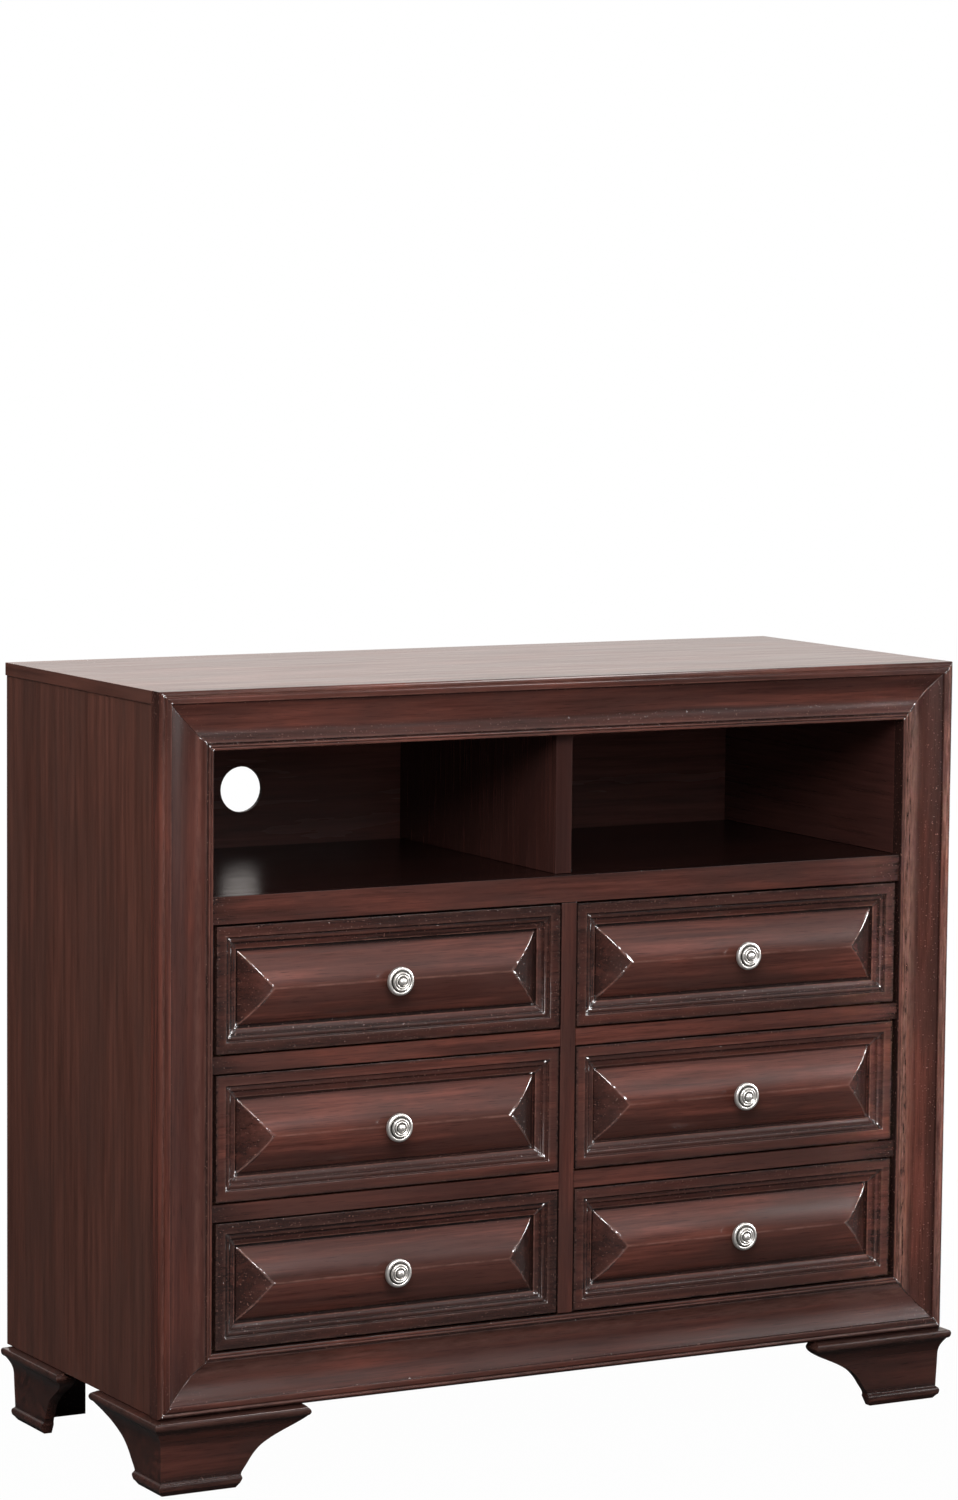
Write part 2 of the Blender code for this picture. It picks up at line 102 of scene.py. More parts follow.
class ChestFinish(bpy.types.PropertyGroup):
    """Colours and gloss of the chest's finishes."""
    stain: colour("Stain", "The cherry stain on the front", (0.082, 0.0245, 0.0172))
    stain_light: colour("Light grain", "The lightest grain under the stain", (0.132, 0.0400, 0.0280))
    glaze: colour("Glaze", "The dark glaze left in mouldings and along edges", (0.010, 0.0045, 0.0038))
    worn: colour("Worn edge", "The paler wood along rubbed edges", (0.300, 0.150, 0.118))
    side_stain: colour("Side stain", "The plainer stain on the side panels", (0.074, 0.0270, 0.0190))
    # The top's stain is lighter and warmer than the front's: painted light on the top's upward faces
    top_stain_and_light: colour("Top stain", "The stain on the top", (0.170, 0.066, 0.050))
    # The bays' stain is darker than the front's, and each face of a bay takes its own share of it: painted
    # shade inside the bays
    bay_stain_and_shade: colour("Bay stain", "The dark stain inside the bays", (0.050, 0.0180, 0.0145))
    box_wood: colour("Box wood", "The pale wood of the drawer boxes", (0.52, 0.36, 0.21))
    nickel: colour("Nickel", "The brushed nickel of the knobs", (0.60, 0.57, 0.54))
    lacquer_roughness: share("Lacquer roughness", "How dull the lacquer is", 0.20)


class ChestMouldings(bpy.types.PropertyGroup):
    """Sizes of the front frame's moulding, the drawer fronts and the edges."""
    board_edge: length("Board edge", "Rounding along the edges of the boards", 0.0008)
    box_edge: length("Box edge", "Rounding along the drawer boxes' edges", 0.0015)
    hip_round: length("Hip round", "Rounding along the hips of the raised fields", 0.0030)
    field_hip_run: length("Hip run", "From a field's end to the end of its ridge", 0.042)
    field_ridge_rise: length("Ridge rise", "How far the ridge stands before the band", 0.0095)
    mitre_groove: length("Mitre groove", "Depth of the groove along the frame's mitres", 0.0004)


class ChestFeet(bpy.types.PropertyGroup):
    """Sizes of the bracket feet, from a foot's corner along its arms."""
    thickness: length("Thickness", "From a foot's face to its inner face", 0.013)
    cap: length("Cap", "How far the cap moulding stands out", 0.0143)
    toe: length("Toe", "How far the toe is cut back at the floor", 0.0065)
    front_waist: length("Front waist", "Narrowest place of a front foot's front arm", 0.110)
    side_waist: length("Side waist", "Narrowest place of a front foot's side arm", 0.077)
    rear_waist: length("Rear waist", "Narrowest place of a rear foot's side arm", 0.095)
    back_arm: length("Back arm", "Length of a rear foot's plain arm", 0.095)


class ChestRoom(bpy.types.PropertyGroup):
    """The camera, the floor and the light."""
    camera_place: bpy.props.FloatVectorProperty(
        name="Camera place", description="Where the camera stands", size=3, unit="LENGTH",
        subtype="TRANSLATION", default=(-3.0326, -5.4290, 1.5147))
    camera_azimuth: angle("Azimuth", "How far the view turns from +Y towards +X", 29.069)
    camera_dip: angle("Dip", "How far the view falls below the horizon", 5.827)
    camera_roll: angle("Roll", "How far the camera is turned about its view", -0.544)
    lens: bpy.props.FloatProperty(name="Lens", description="Focal length on a 36 mm long side",
                                  unit="CAMERA", default=114.52)
    floor_colour: colour("Floor", "The pale floor", (0.18, 0.18, 0.18))


# Shapes

def start_fresh():
    """Leave edit mode and deselect everything."""
    if bpy.context.object and bpy.context.object.mode != "OBJECT":
        bpy.ops.object.mode_set(mode="OBJECT")
    bpy.ops.object.select_all(action="DESELECT")


def choose(piece):
    """Select one piece alone, and make it the active one."""
    start_fresh()
    bpy.context.view_layer.objects.active = piece
    piece.select_set(True)


def edit_mesh(piece):
    """Open a piece in edit mode and return its edit mesh."""
    bpy.ops.object.mode_set(mode="EDIT")
    bpy.ops.mesh.select_mode(type="VERT")
    return bmesh.from_edit_mesh(piece.data)


def select_mesh():
    """Select all of the mesh in edit mode."""
    bpy.ops.mesh.select_all(action="SELECT")


def select_where(piece, kind, test):
    """Select the edges or points of a piece that pass a test, and nothing else."""
    bpy.ops.mesh.select_mode(type={"edges": "EDGE", "verts": "VERT"}[kind])
    bpy.ops.mesh.select_all(action="DESELECT")
    bm = bmesh.from_edit_mesh(piece.data)
    for item in getattr(bm, kind):
        if test(item):
            item.select_set(True)
    bm.select_flush_mode()
    bmesh.update_edit_mesh(piece.data)


def settle(piece, angle=35):
    """Apply the piece's place, close its doubles, turn its faces out and smooth it."""
    choose(piece)
    bpy.ops.object.transform_apply(location=True, rotation=True, scale=True)
    bpy.ops.object.mode_set(mode="EDIT")
    select_mesh()
    bpy.ops.mesh.remove_doubles(threshold=DOUBLED)
    bpy.ops.mesh.normals_make_consistent(inside=False)
    bpy.ops.object.mode_set(mode="OBJECT")
    bpy.ops.object.shade_smooth_by_angle(angle=math.radians(angle))
    return piece


def flatten_faces(piece):
    """Weight the normals by area, so that wide faces look flat beside their rounded edges."""
    choose(piece)
    if piece.data.has_custom_normals:
        bpy.ops.mesh.customdata_custom_splitnormals_clear()
    modifier = piece.modifiers.new("flat faces", "WEIGHTED_NORMAL")
    modifier.keep_sharp = True
    modifier.weight = 100
    bpy.ops.object.modifier_apply(modifier=modifier.name)


def finish(piece, material, body, slot, *nodes):
    """Give a piece its material, its body and the CAD nodes that it stands for."""
    flatten_faces(piece)
    piece.data.materials.clear()
    piece.data.materials.append(material)
    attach(piece, body)
    if nodes:
        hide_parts(*nodes)
    return piece


def copy_piece(source, name, move=(0, 0, 0)):
    """A copy of a piece with its own mesh, moved in its mesh."""
    piece = source.copy()
    piece.data = source.data.copy()
    piece.name = name
    bpy.context.scene.collection.objects.link(piece)
    piece.data.transform(Matrix.Translation(Vector(move)))
    return piece


def mirror_piece(source, name):
    """A copy of a piece with its own mesh, mirrored across X = 0."""
    piece = copy_piece(source, name)
    choose(piece)
    bpy.ops.object.mode_set(mode="EDIT")
    select_mesh()
    bpy.ops.transform.resize(value=(-1, 1, 1), center_override=(0, 0, 0))
    bpy.ops.mesh.normals_make_consistent(inside=False)
    bpy.ops.object.mode_set(mode="OBJECT")
    return piece


def give_to_drawers(model, part, low, material, slot, change=None):
    """Copy a model made on the left top drawer to every drawer, and remove the model."""
    for body in DRAWERS:
        node = f"{body}_{part}"
        copy = copy_piece(model, node + "_piece", [b - a for a, b in zip(low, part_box(node)[0])])
        if change:
            change(copy, body)
        finish(copy, material, body, slot, node)
    bpy.data.objects.remove(model, do_unlink=True)


def use_beside(piece, material, test):
    """A second material on the faces whose normals pass a test."""
    piece.data.materials.append(material)
    for face in piece.data.polygons:
        face.material_index = int(test(face.normal))


def give_material(node, material):
    """A new material for a CAD node that stays."""
    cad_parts[node].data.materials.clear()
    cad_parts[node].data.materials.append(material)


def add_block(name, low, high, edge, segments=2):
    """A rectangular board between two corners, with rounded edges."""
    start_fresh()
    middle = [(a + b) / 2 for a, b in zip(low, high)]
    size = [b - a for a, b in zip(low, high)]
    bpy.ops.mesh.primitive_cube_add(size=1, location=middle, scale=size)
    piece = bpy.context.object
    piece.name = name
    bpy.ops.object.transform_apply(location=True, rotation=True, scale=True)
    if edge:
        bpy.ops.object.mode_set(mode="EDIT")
        select_mesh()
        bpy.ops.mesh.bevel(offset=edge, segments=segments, affect="EDGES", clamp_overlap=True)
        bpy.ops.object.mode_set(mode="OBJECT")
    return piece


def add_outline(name, points):
    """A flat face whose corners lie at the given places."""
    start_fresh()
    bpy.ops.mesh.primitive_circle_add(vertices=len(points), fill_type="NGON", location=(0, 0, 0))
    piece = bpy.context.object
    piece.name = name
    bm = edit_mesh(piece)
    for vert, place in zip(bm.verts, points):
        vert.co = place
    bmesh.update_edit_mesh(piece.data)
    return piece


def draw_out(piece, along):
    """Draw the whole face of a piece in edit mode out into a bar."""
    select_mesh()
    bpy.ops.mesh.extrude_region_move(TRANSFORM_OT_translate={"value": along})


def cut_off(piece, place, normal, fill=True):
    """Cut away what lies past a plane, on the side that its normal points to."""
    select_mesh()
    bpy.ops.mesh.bisect(plane_co=place, plane_no=normal, use_fill=fill, clear_outer=True, threshold=AT_CUT)


def cut_away(piece, tool):
    """Cut a tool from a piece for good, and remove the tool."""
    choose(piece)
    modifier = piece.modifiers.new("cut", "BOOLEAN")
    modifier.operation = "DIFFERENCE"
    modifier.solver = "EXACT"
    modifier.object = tool
    bpy.ops.object.modifier_apply(modifier=modifier.name)
    bpy.data.objects.remove(tool, do_unlink=True)


def smooth_path(points, steps):
    """Points along a curve through the given ones, sharp where a point is listed twice."""
    def between(p, q, r, u, t):
        return 0.5 * (2 * q + (r - p) * t + (2 * p - 5 * q + 4 * r - u) * t * t
                      + (3 * q - p - 3 * r + u) * t ** 3)

    ends = [points[0], *points, points[-1]]
    path = [points[0]]
    for a, b, c, d in zip(ends, ends[1:], ends[2:], ends[3:]):
        for step in range(1, steps + 1):
            spot = c if step == steps else [between(*four, step / steps) for four in zip(a, b, c, d)]
            if b != c and math.dist(spot, path[-1]) > OUTLINE_STEP:
                path.append(tuple(spot))
    return path


def paint(piece, name, amount_of):
    """Store an amount from nought to one at each point, such as how much glaze lies there."""
    layer = piece.data.attributes.new(name, "FLOAT", "POINT")
    for vert, cell in zip(piece.data.vertices, layer.data):
        cell.value = amount_of(vert.co)


def paint_place(piece, middle):
    """Store each point's place from the middle of its piece."""
    layer = piece.data.attributes.new("from_middle", "FLOAT_VECTOR", "POINT")
    for vert, cell in zip(piece.data.vertices, layer.data):
        cell.vector = vert.co - Vector(middle)


def table_value(table, at):
    """Read a table of (place, value) pairs, straight between its entries."""
    if at <= table[0][0]:
        return table[0][1]
    for (a, va), (b, vb) in zip(table, table[1:]):
        if at <= b:
            return va + (vb - va) * (at - a) / (b - a)
    return table[-1][1]


# Materials

class Nodes:
    """Adds nodes to the tree of one material or world, and joins them."""

    def __init__(self, owner):
        owner.use_nodes = True
        self.owner = owner
        self.tree = owner.node_tree

    def add(self, kind, inputs=None, **settings):
        """A node with settings, and values or joins for its inputs."""
        node = self.tree.nodes.new("ShaderNode" + kind)
        for key, value in settings.items():
            setattr(node, key, value)
        self.fill(node, inputs or {})
        return node

    def fill(self, node, inputs):
        """Join outputs to a node's inputs, or set the inputs' values."""
        for key, value in inputs.items():
            socket = node.inputs[key]
            if isinstance(value, bpy.types.NodeSocket):
                self.tree.links.new(value, socket)
            elif socket.type == "RGBA":
                socket.default_value = (*value[:3], 1.0)
            else:
                socket.default_value = value

    def surface(self, **inputs):
        """Set the material's shader; an underscore stands for a space."""
        shader = self.tree.nodes["Principled BSDF"]
        self.fill(shader, {key.replace("_", " "): value for key, value in inputs.items()})
        return shader

    def place(self, scale=(1, 1, 1)):
        """Object coordinates, stretched."""
        where = self.add("TexCoord").outputs["Object"]
        return self.add("Mapping", {"Vector": where, "Scale": scale}).outputs["Vector"]

    def noise(self, place, scale, detail, roughness=0.5, distortion=0.0):
        """A noise value from nought to one."""
        return self.add("TexNoise", {"Vector": place, "Scale": scale, "Detail": detail,
                                     "Roughness": roughness, "Distortion": distortion}).outputs["Fac"]

    def grain(self, axis, along, across, detail, roughness=0.5, distortion=0.0):
        """A noise that is drawn out along one axis."""
        scale = [along if axis == i else across for i in range(3)]
        return self.noise(self.place(scale), 1.0, detail, roughness, distortion)

    def stored(self, name, output="Fac"):
        """What a piece stores at its points."""
        return self.add("Attribute", attribute_name=name).outputs[output]

    def ramp(self, value, *stops):
        """A value sent through a ramp of (place, grey) stops."""
        node = self.add("ValToRGB", {"Fac": value})
        band = node.color_ramp
        while len(band.elements) > 1:
            band.elements.remove(band.elements[-1])
        for number, (at, grey) in enumerate(stops):
            element = band.elements[0] if number == 0 else band.elements.new(at)
            element.position = at
            element.color = (grey, grey, grey, 1)
        return node.outputs["Color"]

    def mix(self, factor, a, b):
        """One colour at a factor of nought, another at one."""
        return self.add("Mix", {0: factor, 6: a, 7: b}, data_type="RGBA").outputs[2]

    def blend(self, factor, a, b):
        """One value at a factor of nought, another at one."""
        return self.add("Mix", {0: factor, 2: a, 3: b}, data_type="FLOAT").outputs[0]

    def maths(self, operation, a, b=0.0, clamp=False):
        """One sum of two values."""
        return self.add("Math", {0: a, 1: b}, operation=operation, use_clamp=clamp).outputs[0]

    times = partialmethod(maths, "MULTIPLY")
    plus = partialmethod(maths, "ADD")
    minus = partialmethod(maths, "SUBTRACT")
    larger = partialmethod(maths, "MAXIMUM")
    smaller = partialmethod(maths, "MINIMUM")

    def inside(self, half, place):
        """How far a place lies within a half width."""
        return self.minus(half, self.maths("ABSOLUTE", place))

    def fade(self, value, start=0.0, end=1.0, low=0.0, high=1.0, kind="SMOOTHSTEP"):
        """A value taken from one range to another."""
        inputs = {"Value": value, "From Min": start, "From Max": end, "To Min": low, "To Max": high}
        return self.add("MapRange", inputs, interpolation_type=kind).outputs["Result"]

    def close_to(self, distance, reach):
        """One at no distance, falling to nought at the reach."""
        return self.minus(1.0, self.maths("DIVIDE", self.maths("ABSOLUTE", distance), reach), clamp=True)

    def facing(self, vector, towards, start, end):
        """One where a direction points one way, falling to nought away from it."""
        size = math.hypot(*towards)
        node = self.add("VectorMath", {0: vector, 1: [c / size for c in towards]}, operation="DOT_PRODUCT")
        return self.fade(node.outputs["Value"], start, end)

    def bump(self, height, distance, strength, over=None):
        """A bump from a height, on top of another."""
        inputs = {"Height": height, "Distance": distance, "Strength": strength}
        if over is not None:
            inputs["Normal"] = over
        return self.add("Bump", inputs).outputs["Normal"]

    def parts(self, vector=None):
        """The three parts of a vector, or of the object coordinates."""
        node = self.add("SeparateXYZ", {"Vector": vector or self.add("TexCoord").outputs["Object"]})
        return [node.outputs[key] for key in "XYZ"]


def lacquered_wood(name, axis, tones, roughness, specular, figure=1.0, marks=None, glazed=True):
    """Stained wood under lacquer, its grain along one axis.

    The tones are base, light, dark and worn. Glaze and wear lie where the piece stores them, the glaze with
    painted shade in gaps and on inner faces and the wear with some painted light, and marks adds the wear
    and the darker stain that follow lines across the faces.
    """
    base, light, dark, worn = tones
    n = Nodes(bpy.data.materials.new(name))
    fibres = n.grain(axis, 4.5, 115, 6, 0.70)
    bands = n.grain(axis, 1.8, 36, 3, 0.60, 0.8)
    clouds = n.grain(axis, 4, 13, 4, 0.62)
    pores = n.grain(axis, 32, 900, 2)
    tone = n.mix(n.ramp(fibres, (0.36, 0), (0.64, 1)), [0.68 * c for c in base], light)
    tone = n.mix(n.times(n.ramp(bands, (0.38, 1), (0.54, 0)), 0.55 * figure), tone, dark)
    brown = (base[0] * 0.68, base[1] * 0.90, base[2])
    tone = n.mix(n.times(n.ramp(clouds, (0.42, 1), (0.58, 0)), 0.70 * figure), tone, brown)
    pits = n.ramp(pores, (0.30, 1), (0.40, 0))
    tone = n.mix(n.times(pits, 0.45), tone, dark)
    height = n.plus(n.times(fibres, 0.35), n.times(pits, -0.6))
    rough = n.plus(n.times(n.grain(axis, 6, 60, 3), 0.12), roughness - 0.05)
    if glazed:
        blotch = n.grain(axis, 40, 220, 4, 0.65)
        rubbed, stored, raised = n.stored("wear"), n.stored("glaze"), 0.0
        if marks:
            lines, deeper, raised = marks(n)
            rubbed = n.larger(rubbed, lines)
            uneven = n.ramp(n.grain(axis, 9, 45, 3, 0.6), (0.30, 0.70), (0.62, 1))
            stored = n.larger(stored, n.times(deeper, uneven))
            spots = n.ramp(n.noise(n.place(), 45, 2, 0.6), (0.42, 0.15), (0.58, 1))
            height = n.plus(height, n.times(n.times(raised, spots), 24))
            n.surface(Coat_Weight=n.times(n.times(raised, raised), spots), Coat_IOR=2.6, Coat_Roughness=0.12)
        tone = n.mix(n.times(stored, n.ramp(blotch, (0.30, 1), (0.60, 0.85))), tone, dark)
        patchy = n.times(rubbed, n.ramp(blotch, (0.34, 0.10), (0.62, 1)))
        tone = n.mix(n.times(patchy, 0.8), tone, worn)
        # Light specks in glazed and rubbed places, paler, smoother and raised: painted glints standing in
        # for tiny highlights in the lacquer
        glint_specks = n.ramp(n.noise(n.place(), 420, 1), (0.69, 0), (0.73, 1))
        painted_glints = n.times(glint_specks, n.ramp(n.larger(stored, rubbed), (0.25, 0), (0.60, 1)))
        tone = n.mix(n.times(painted_glints, 0.35), tone, worn)
        height = n.plus(height, n.times(painted_glints, 1.5))
        polished = n.larger(rubbed, n.larger(painted_glints, raised))
        rough = n.times(rough, n.minus(1, n.times(polished, 0.60)))
        specular = n.plus(n.times(polished, 1 - specular), specular)
    over = n.bump(n.noise(n.place(), 14, 2, 0.4), 0.0006, 0.35)
    n.surface(Base_Color=tone, Roughness=rough, Specular_IOR_Level=specular, IOR=1.5,
              Normal=n.bump(height, 0.00006, 0.6, over))
    return n.owner


def frame_marks(n):
    """Wear along the front frame's mitres, darker stain towards its corners, and lacquer raised there."""
    low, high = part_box("frame_bottom_rail")[0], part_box("frame_top_rail")[1]
    worn_reach, raised_reach, dark_reach = 0.0016, 0.0026, 0.16
    x, _, z = n.parts()
    in_x = n.inside(high[0], x)
    in_z = n.smaller(n.minus(high[2], z), n.minus(z, low[2]))
    from_mitre = n.minus(in_x, in_z)
    mitre = n.close_to(from_mitre, worn_reach)
    corner = n.close_to(n.larger(in_x, in_z), dark_reach)
    raised = n.times(n.fade(n.close_to(from_mitre, raised_reach)), n.times(n.stored("wear"), 5, clamp=True))
    return n.times(mitre, 0.10), n.times(corner, 0.7), n.times(raised, 1.35)


def rail_marks(n):
    """Darker stain towards the ends of the rails between the stiles."""
    dark_reach = 0.07
    in_x = n.inside(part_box("shelf_front_rail")[1][0], n.parts()[0])
    return 0.0, n.times(n.close_to(in_x, dark_reach), 0.9), 0.0


def front_marks(n):
    """Wear along a drawer front's hips and ridge, darker stain on its ends, and lacquer raised there."""
    low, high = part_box("drawer_left_top_front")
    half_x, half_z = (high[0] - low[0]) / 2, (high[2] - low[2]) / 2
    edge = 0.001 * DRAWER_MOULDING[-1][0]
    run = bpy.context.scene.chest_mouldings.field_hip_run
    hip_reach, ridge_reach, raised_reach = 0.0030, 0.0020, 0.0045
    off_hip, soft = 0.001, 0.001
    x, _, z = n.parts(n.stored("from_middle", "Vector"))
    in_x, in_z = n.inside(half_x, x), n.inside(half_z, z)
    in_both = n.smaller(in_x, in_z)
    field_z = n.larger(n.minus(in_z, edge), 0)
    past_hip = n.minus(in_x, n.plus(n.smaller(in_z, edge), n.times(field_z, run / (half_z - edge))))
    hip = n.times(n.close_to(past_hip, hip_reach), n.maths("GREATER_THAN", in_both, edge))
    ridge = n.times(n.close_to(n.minus(half_z, in_z), ridge_reach),
                    n.maths("GREATER_THAN", in_x, edge + run))
    on_end = n.times(n.maths("LESS_THAN", past_hip, -off_hip), n.maths("GREATER_THAN", in_x, edge))
    deeper = n.fade(in_x, edge, edge + run, 0.92, 0.60, "LINEAR")
    past_band = n.fade(in_both, BAND_WIDTH - soft, BAND_WIDTH + soft, kind="LINEAR")
    raised = n.times(n.fade(n.close_to(past_hip, raised_reach)), past_band)
    return n.times(n.larger(hip, ridge), 0.45), n.times(on_end, deeper), raised


def box_wood(name, axis, base):
    """Pale secondary wood under a thin coat."""
    n = Nodes(bpy.data.materials.new(name))
    fibres = n.grain(axis, 6, 300, 5, 0.6)
    bands = n.grain(axis, 1.5, 34, 3, 0.5, 1.2)
    dark, light = [0.62 * c for c in base], [min(1, 1.18 * c) for c in base]
    tone = n.mix(n.ramp(fibres, (0.3, 0), (0.7, 1)), base, light)
    tone = n.mix(n.times(n.ramp(bands, (0.35, 1), (0.56, 0)), 0.5), tone, dark)
    n.surface(Base_Color=tone, Roughness=n.plus(n.times(fibres, 0.15), 0.45), Specular_IOR_Level=0.3,
              Normal=n.bump(fibres, 0.00008, 0.6))
    return n.owner


def nickel(name, base):
    """Brushed nickel, dark where the glaze is stored."""
    n = Nodes(bpy.data.materials.new(name))
    brushing = n.noise(n.place(), 1600, 3, 0.6)
    patches = n.noise(n.place(), 260, 3, 0.6)
    stored = n.stored("glaze")
    tone = n.mix(n.times(patches, 0.18), base, (0.42, 0.40, 0.38))
    rough = n.plus(n.plus(n.times(brushing, 0.12), 0.29), n.times(stored, 0.3))
    n.surface(Base_Color=n.mix(stored, tone, (0.018, 0.016, 0.014)), Metallic=0.85, Roughness=rough,
              Normal=n.bump(brushing, 0.00003, 0.4))
    return n.owner


def shades(stain, share_of, up, down):
    """A share of a stain, with its lighter and darker grain."""
    stain = [share_of * c for c in stain]
    return stain, [up * c for c in stain], [down * c for c in stain], stain


class Palette:
    """The finishes, made once from the user's colours."""

    def __init__(self):
        chosen = bpy.context.scene.chest_finish
        rough = chosen.lacquer_roughness
        cherry = [tuple(tone) for tone in (chosen.stain, chosen.stain_light, chosen.glaze, chosen.worn)]
        field = [[1.08 * c for c in tone] for tone in cherry[:2]] + cherry[2:]
        # The feet take 0.6 of the cherry tones: painted shade, low by the floor
        foot_shade = [[0.60 * c for c in tone] for tone in cherry]
        self.member_x = lacquered_wood("cherry_rail", 0, cherry, rough, 0.38, marks=frame_marks)
        self.member_z = lacquered_wood("cherry_stile", 2, cherry, rough, 0.28, marks=frame_marks)
        self.front_x = lacquered_wood("cherry_front", 0, field, rough, 0.5, marks=front_marks)
        self.plain_x = lacquered_wood("cherry_inner_rail", 0, cherry, rough, 0.5, marks=rail_marks)
        self.plain_z = lacquered_wood("cherry_inner_stile", 2, cherry, rough, 0.5)
        self.foot = lacquered_wood("cherry_foot", 0, foot_shade, rough, 0.4, 1.2)
        side = shades(chosen.side_stain, 1, 1.4, 0.6)
        # The bays' inner sides, back and shelf are shaded copies of one stain, each set to how dark that
        # face reads: painted shade
        inner = shades(chosen.bay_stain_and_shade, 0.70, 1.2, 0.75)
        # Axis, tones, extra roughness, specular level and figure
        unglazed = {
            "cherry_side": (2, side, 0.16, 0.20, 0.6),
            "cherry_top_edge": (1, side, 0.10, 0.30, 0.6),
            # The top's upward faces: a lighter stain than the front's, painted light from above
            "cherry_top": (0, shades(chosen.top_stain_and_light, 1, 1.6, 0.5), 0.0, 0.45, 0.9),
            # The bay's shelf and back: darker shares of the bay stain, painted shade inside the bays
            "bay_shelf": (0, shades(chosen.bay_stain_and_shade, 0.22, 1.5, 0.5), 0.01, 0.09, 0.8),
            "bay_back": (0, shades(chosen.bay_stain_and_shade, 0.88, 1.25, 0.7), 0.05, 0.2, 0.3),
            "bay_along_z": (2, inner, 0.0, 0.2, 0.4),
            "bay_along_y": (1, inner, 0.0, 0.2, 0.4),
        }
        for name, (axis, tones, duller, specular, figure) in unglazed.items():
            wood = lacquered_wood(name, axis, tones, rough + duller, specular, figure, glazed=False)
            setattr(self, name, wood)
        for axis in "xyz":
            name = "box_wood_along_" + axis
            setattr(self, name, box_wood(name, "xyz".index(axis), tuple(chosen.box_wood)))
        self.nickel = nickel("brushed_nickel", tuple(chosen.nickel))


palette = None


def finishes():
    """The shared finishes."""
    global palette
    if palette is None:
        palette = Palette()
    return palette


# Outlines and what lies along them, in millimetres; a point that is listed twice is a sharp corner

# The front frame's moulding: from its outer edge, and behind its foremost plane
FRAME_MOULDING = [
    (0, 27), (0, 5.4), (0, 5.4), (1, 3.4), (2.6, 1.9), (4.2, 1.5), (5.4, 1.9), (5.4, 1.9), (6.4, 2.5),
    (7.2, 2.2), (7.2, 2.2), (7.9, 0.8), (9, 0.1), (10.4, 0), (10.4, 0), (13.9, 0), (13.9, 0), (14.9, 0.3),
    (15.4, 1), (15.5, 2.2), (15.5, 2.2), (16, 3), (16, 3), (19, 4.3), (22, 5.8), (30, 8.8), (38, 10.9),
    (46, 11.9), (53, 11.6), (58, 9.9), (62, 7.5), (64.4, 6.2), (65.6, 6.3), (65.6, 6.3), (66.2, 7.9),
    (66.2, 7.9), (67.4, 7.9), (67.4, 7.9), (67.9, 6.6), (68.9, 6), (70, 6.2), (70.9, 7), (70.9, 7),
    (71.6, 6.6), (73, 6.5), (74.2, 6.8), (74.8, 7.4), (75, 8.2), (75, 8.2), (75, 9.4), (75, 9.4), (75, 27),
]
FRAME_GLAZE = [
    (0, 0), (2, 0.1), (4.2, 0.05), (6, 0.15), (7.2, 0.2), (8.2, 0.15), (13, 0.15), (15, 0.4), (15.6, 0.7),
    (16.4, 0.6), (19, 0.25), (26, 0.1), (44, 0.08), (60, 0.06), (62.5, 0.2), (64, 0.5), (65, 0.95),
    (66.3, 0.95), (67.2, 0.75), (67.8, 0.7), (68.6, 0.3), (69.4, 0.15), (70.5, 0.65), (71.3, 0.65),
    (72.2, 0.15), (73.6, 0.2), (74.3, 0.9), (75, 1),
]
FRAME_WEAR = [
    (0, 0), (3.5, 0.05), (4.6, 0.3), (6.2, 0.3), (7.2, 0), (13, 0), (13.9, 0.3), (14.6, 0), (62, 0),
    (64, 0.12), (65.2, 0.12), (66, 0), (68.2, 0.1), (69.2, 0.22), (70.4, 0), (72.4, 0.1), (73.6, 0.15),
    (74.9, 0),
]
# What each member has besides: more glaze, partly painted shade where less light falls on that member, and
# more wear, partly painted light, most on the right stile
MEMBER_GLAZE_AND_SHADE = {
    "frame_top_rail": [(46, 0), (50, 0.5), (62, 0.55), (64, 0)],
    "frame_bottom_rail": [(3, 0.7), (4.5, 0.5), (7.5, 0), (18, 0), (21, 0.22), (28, 0.18), (34, 0)],
    "frame_left_stile": [(15, 0)],
    "frame_right_stile": [(15, 0), (15.6, 1), (16.4, 0.8), (22, 0.7), (30, 0.55), (44, 0.4), (52, 0)],
}
MEMBER_WEAR_AND_LIGHT = {
    "frame_top_rail": [(0, 0)],
    "frame_bottom_rail": [(44, 0), (52, 0.15), (62, 0.15), (64, 0)],
    "frame_left_stile": [(50, 0), (55, 0.12), (58, 0.1), (61, 0)],
    "frame_right_stile": [(4.5, 0), (6, 0.3), (12, 0.3), (14, 0), (46, 0), (55, 0.25), (60, 0.5), (66, 0.6),
                          (71, 0.2), (74, 0)],
}
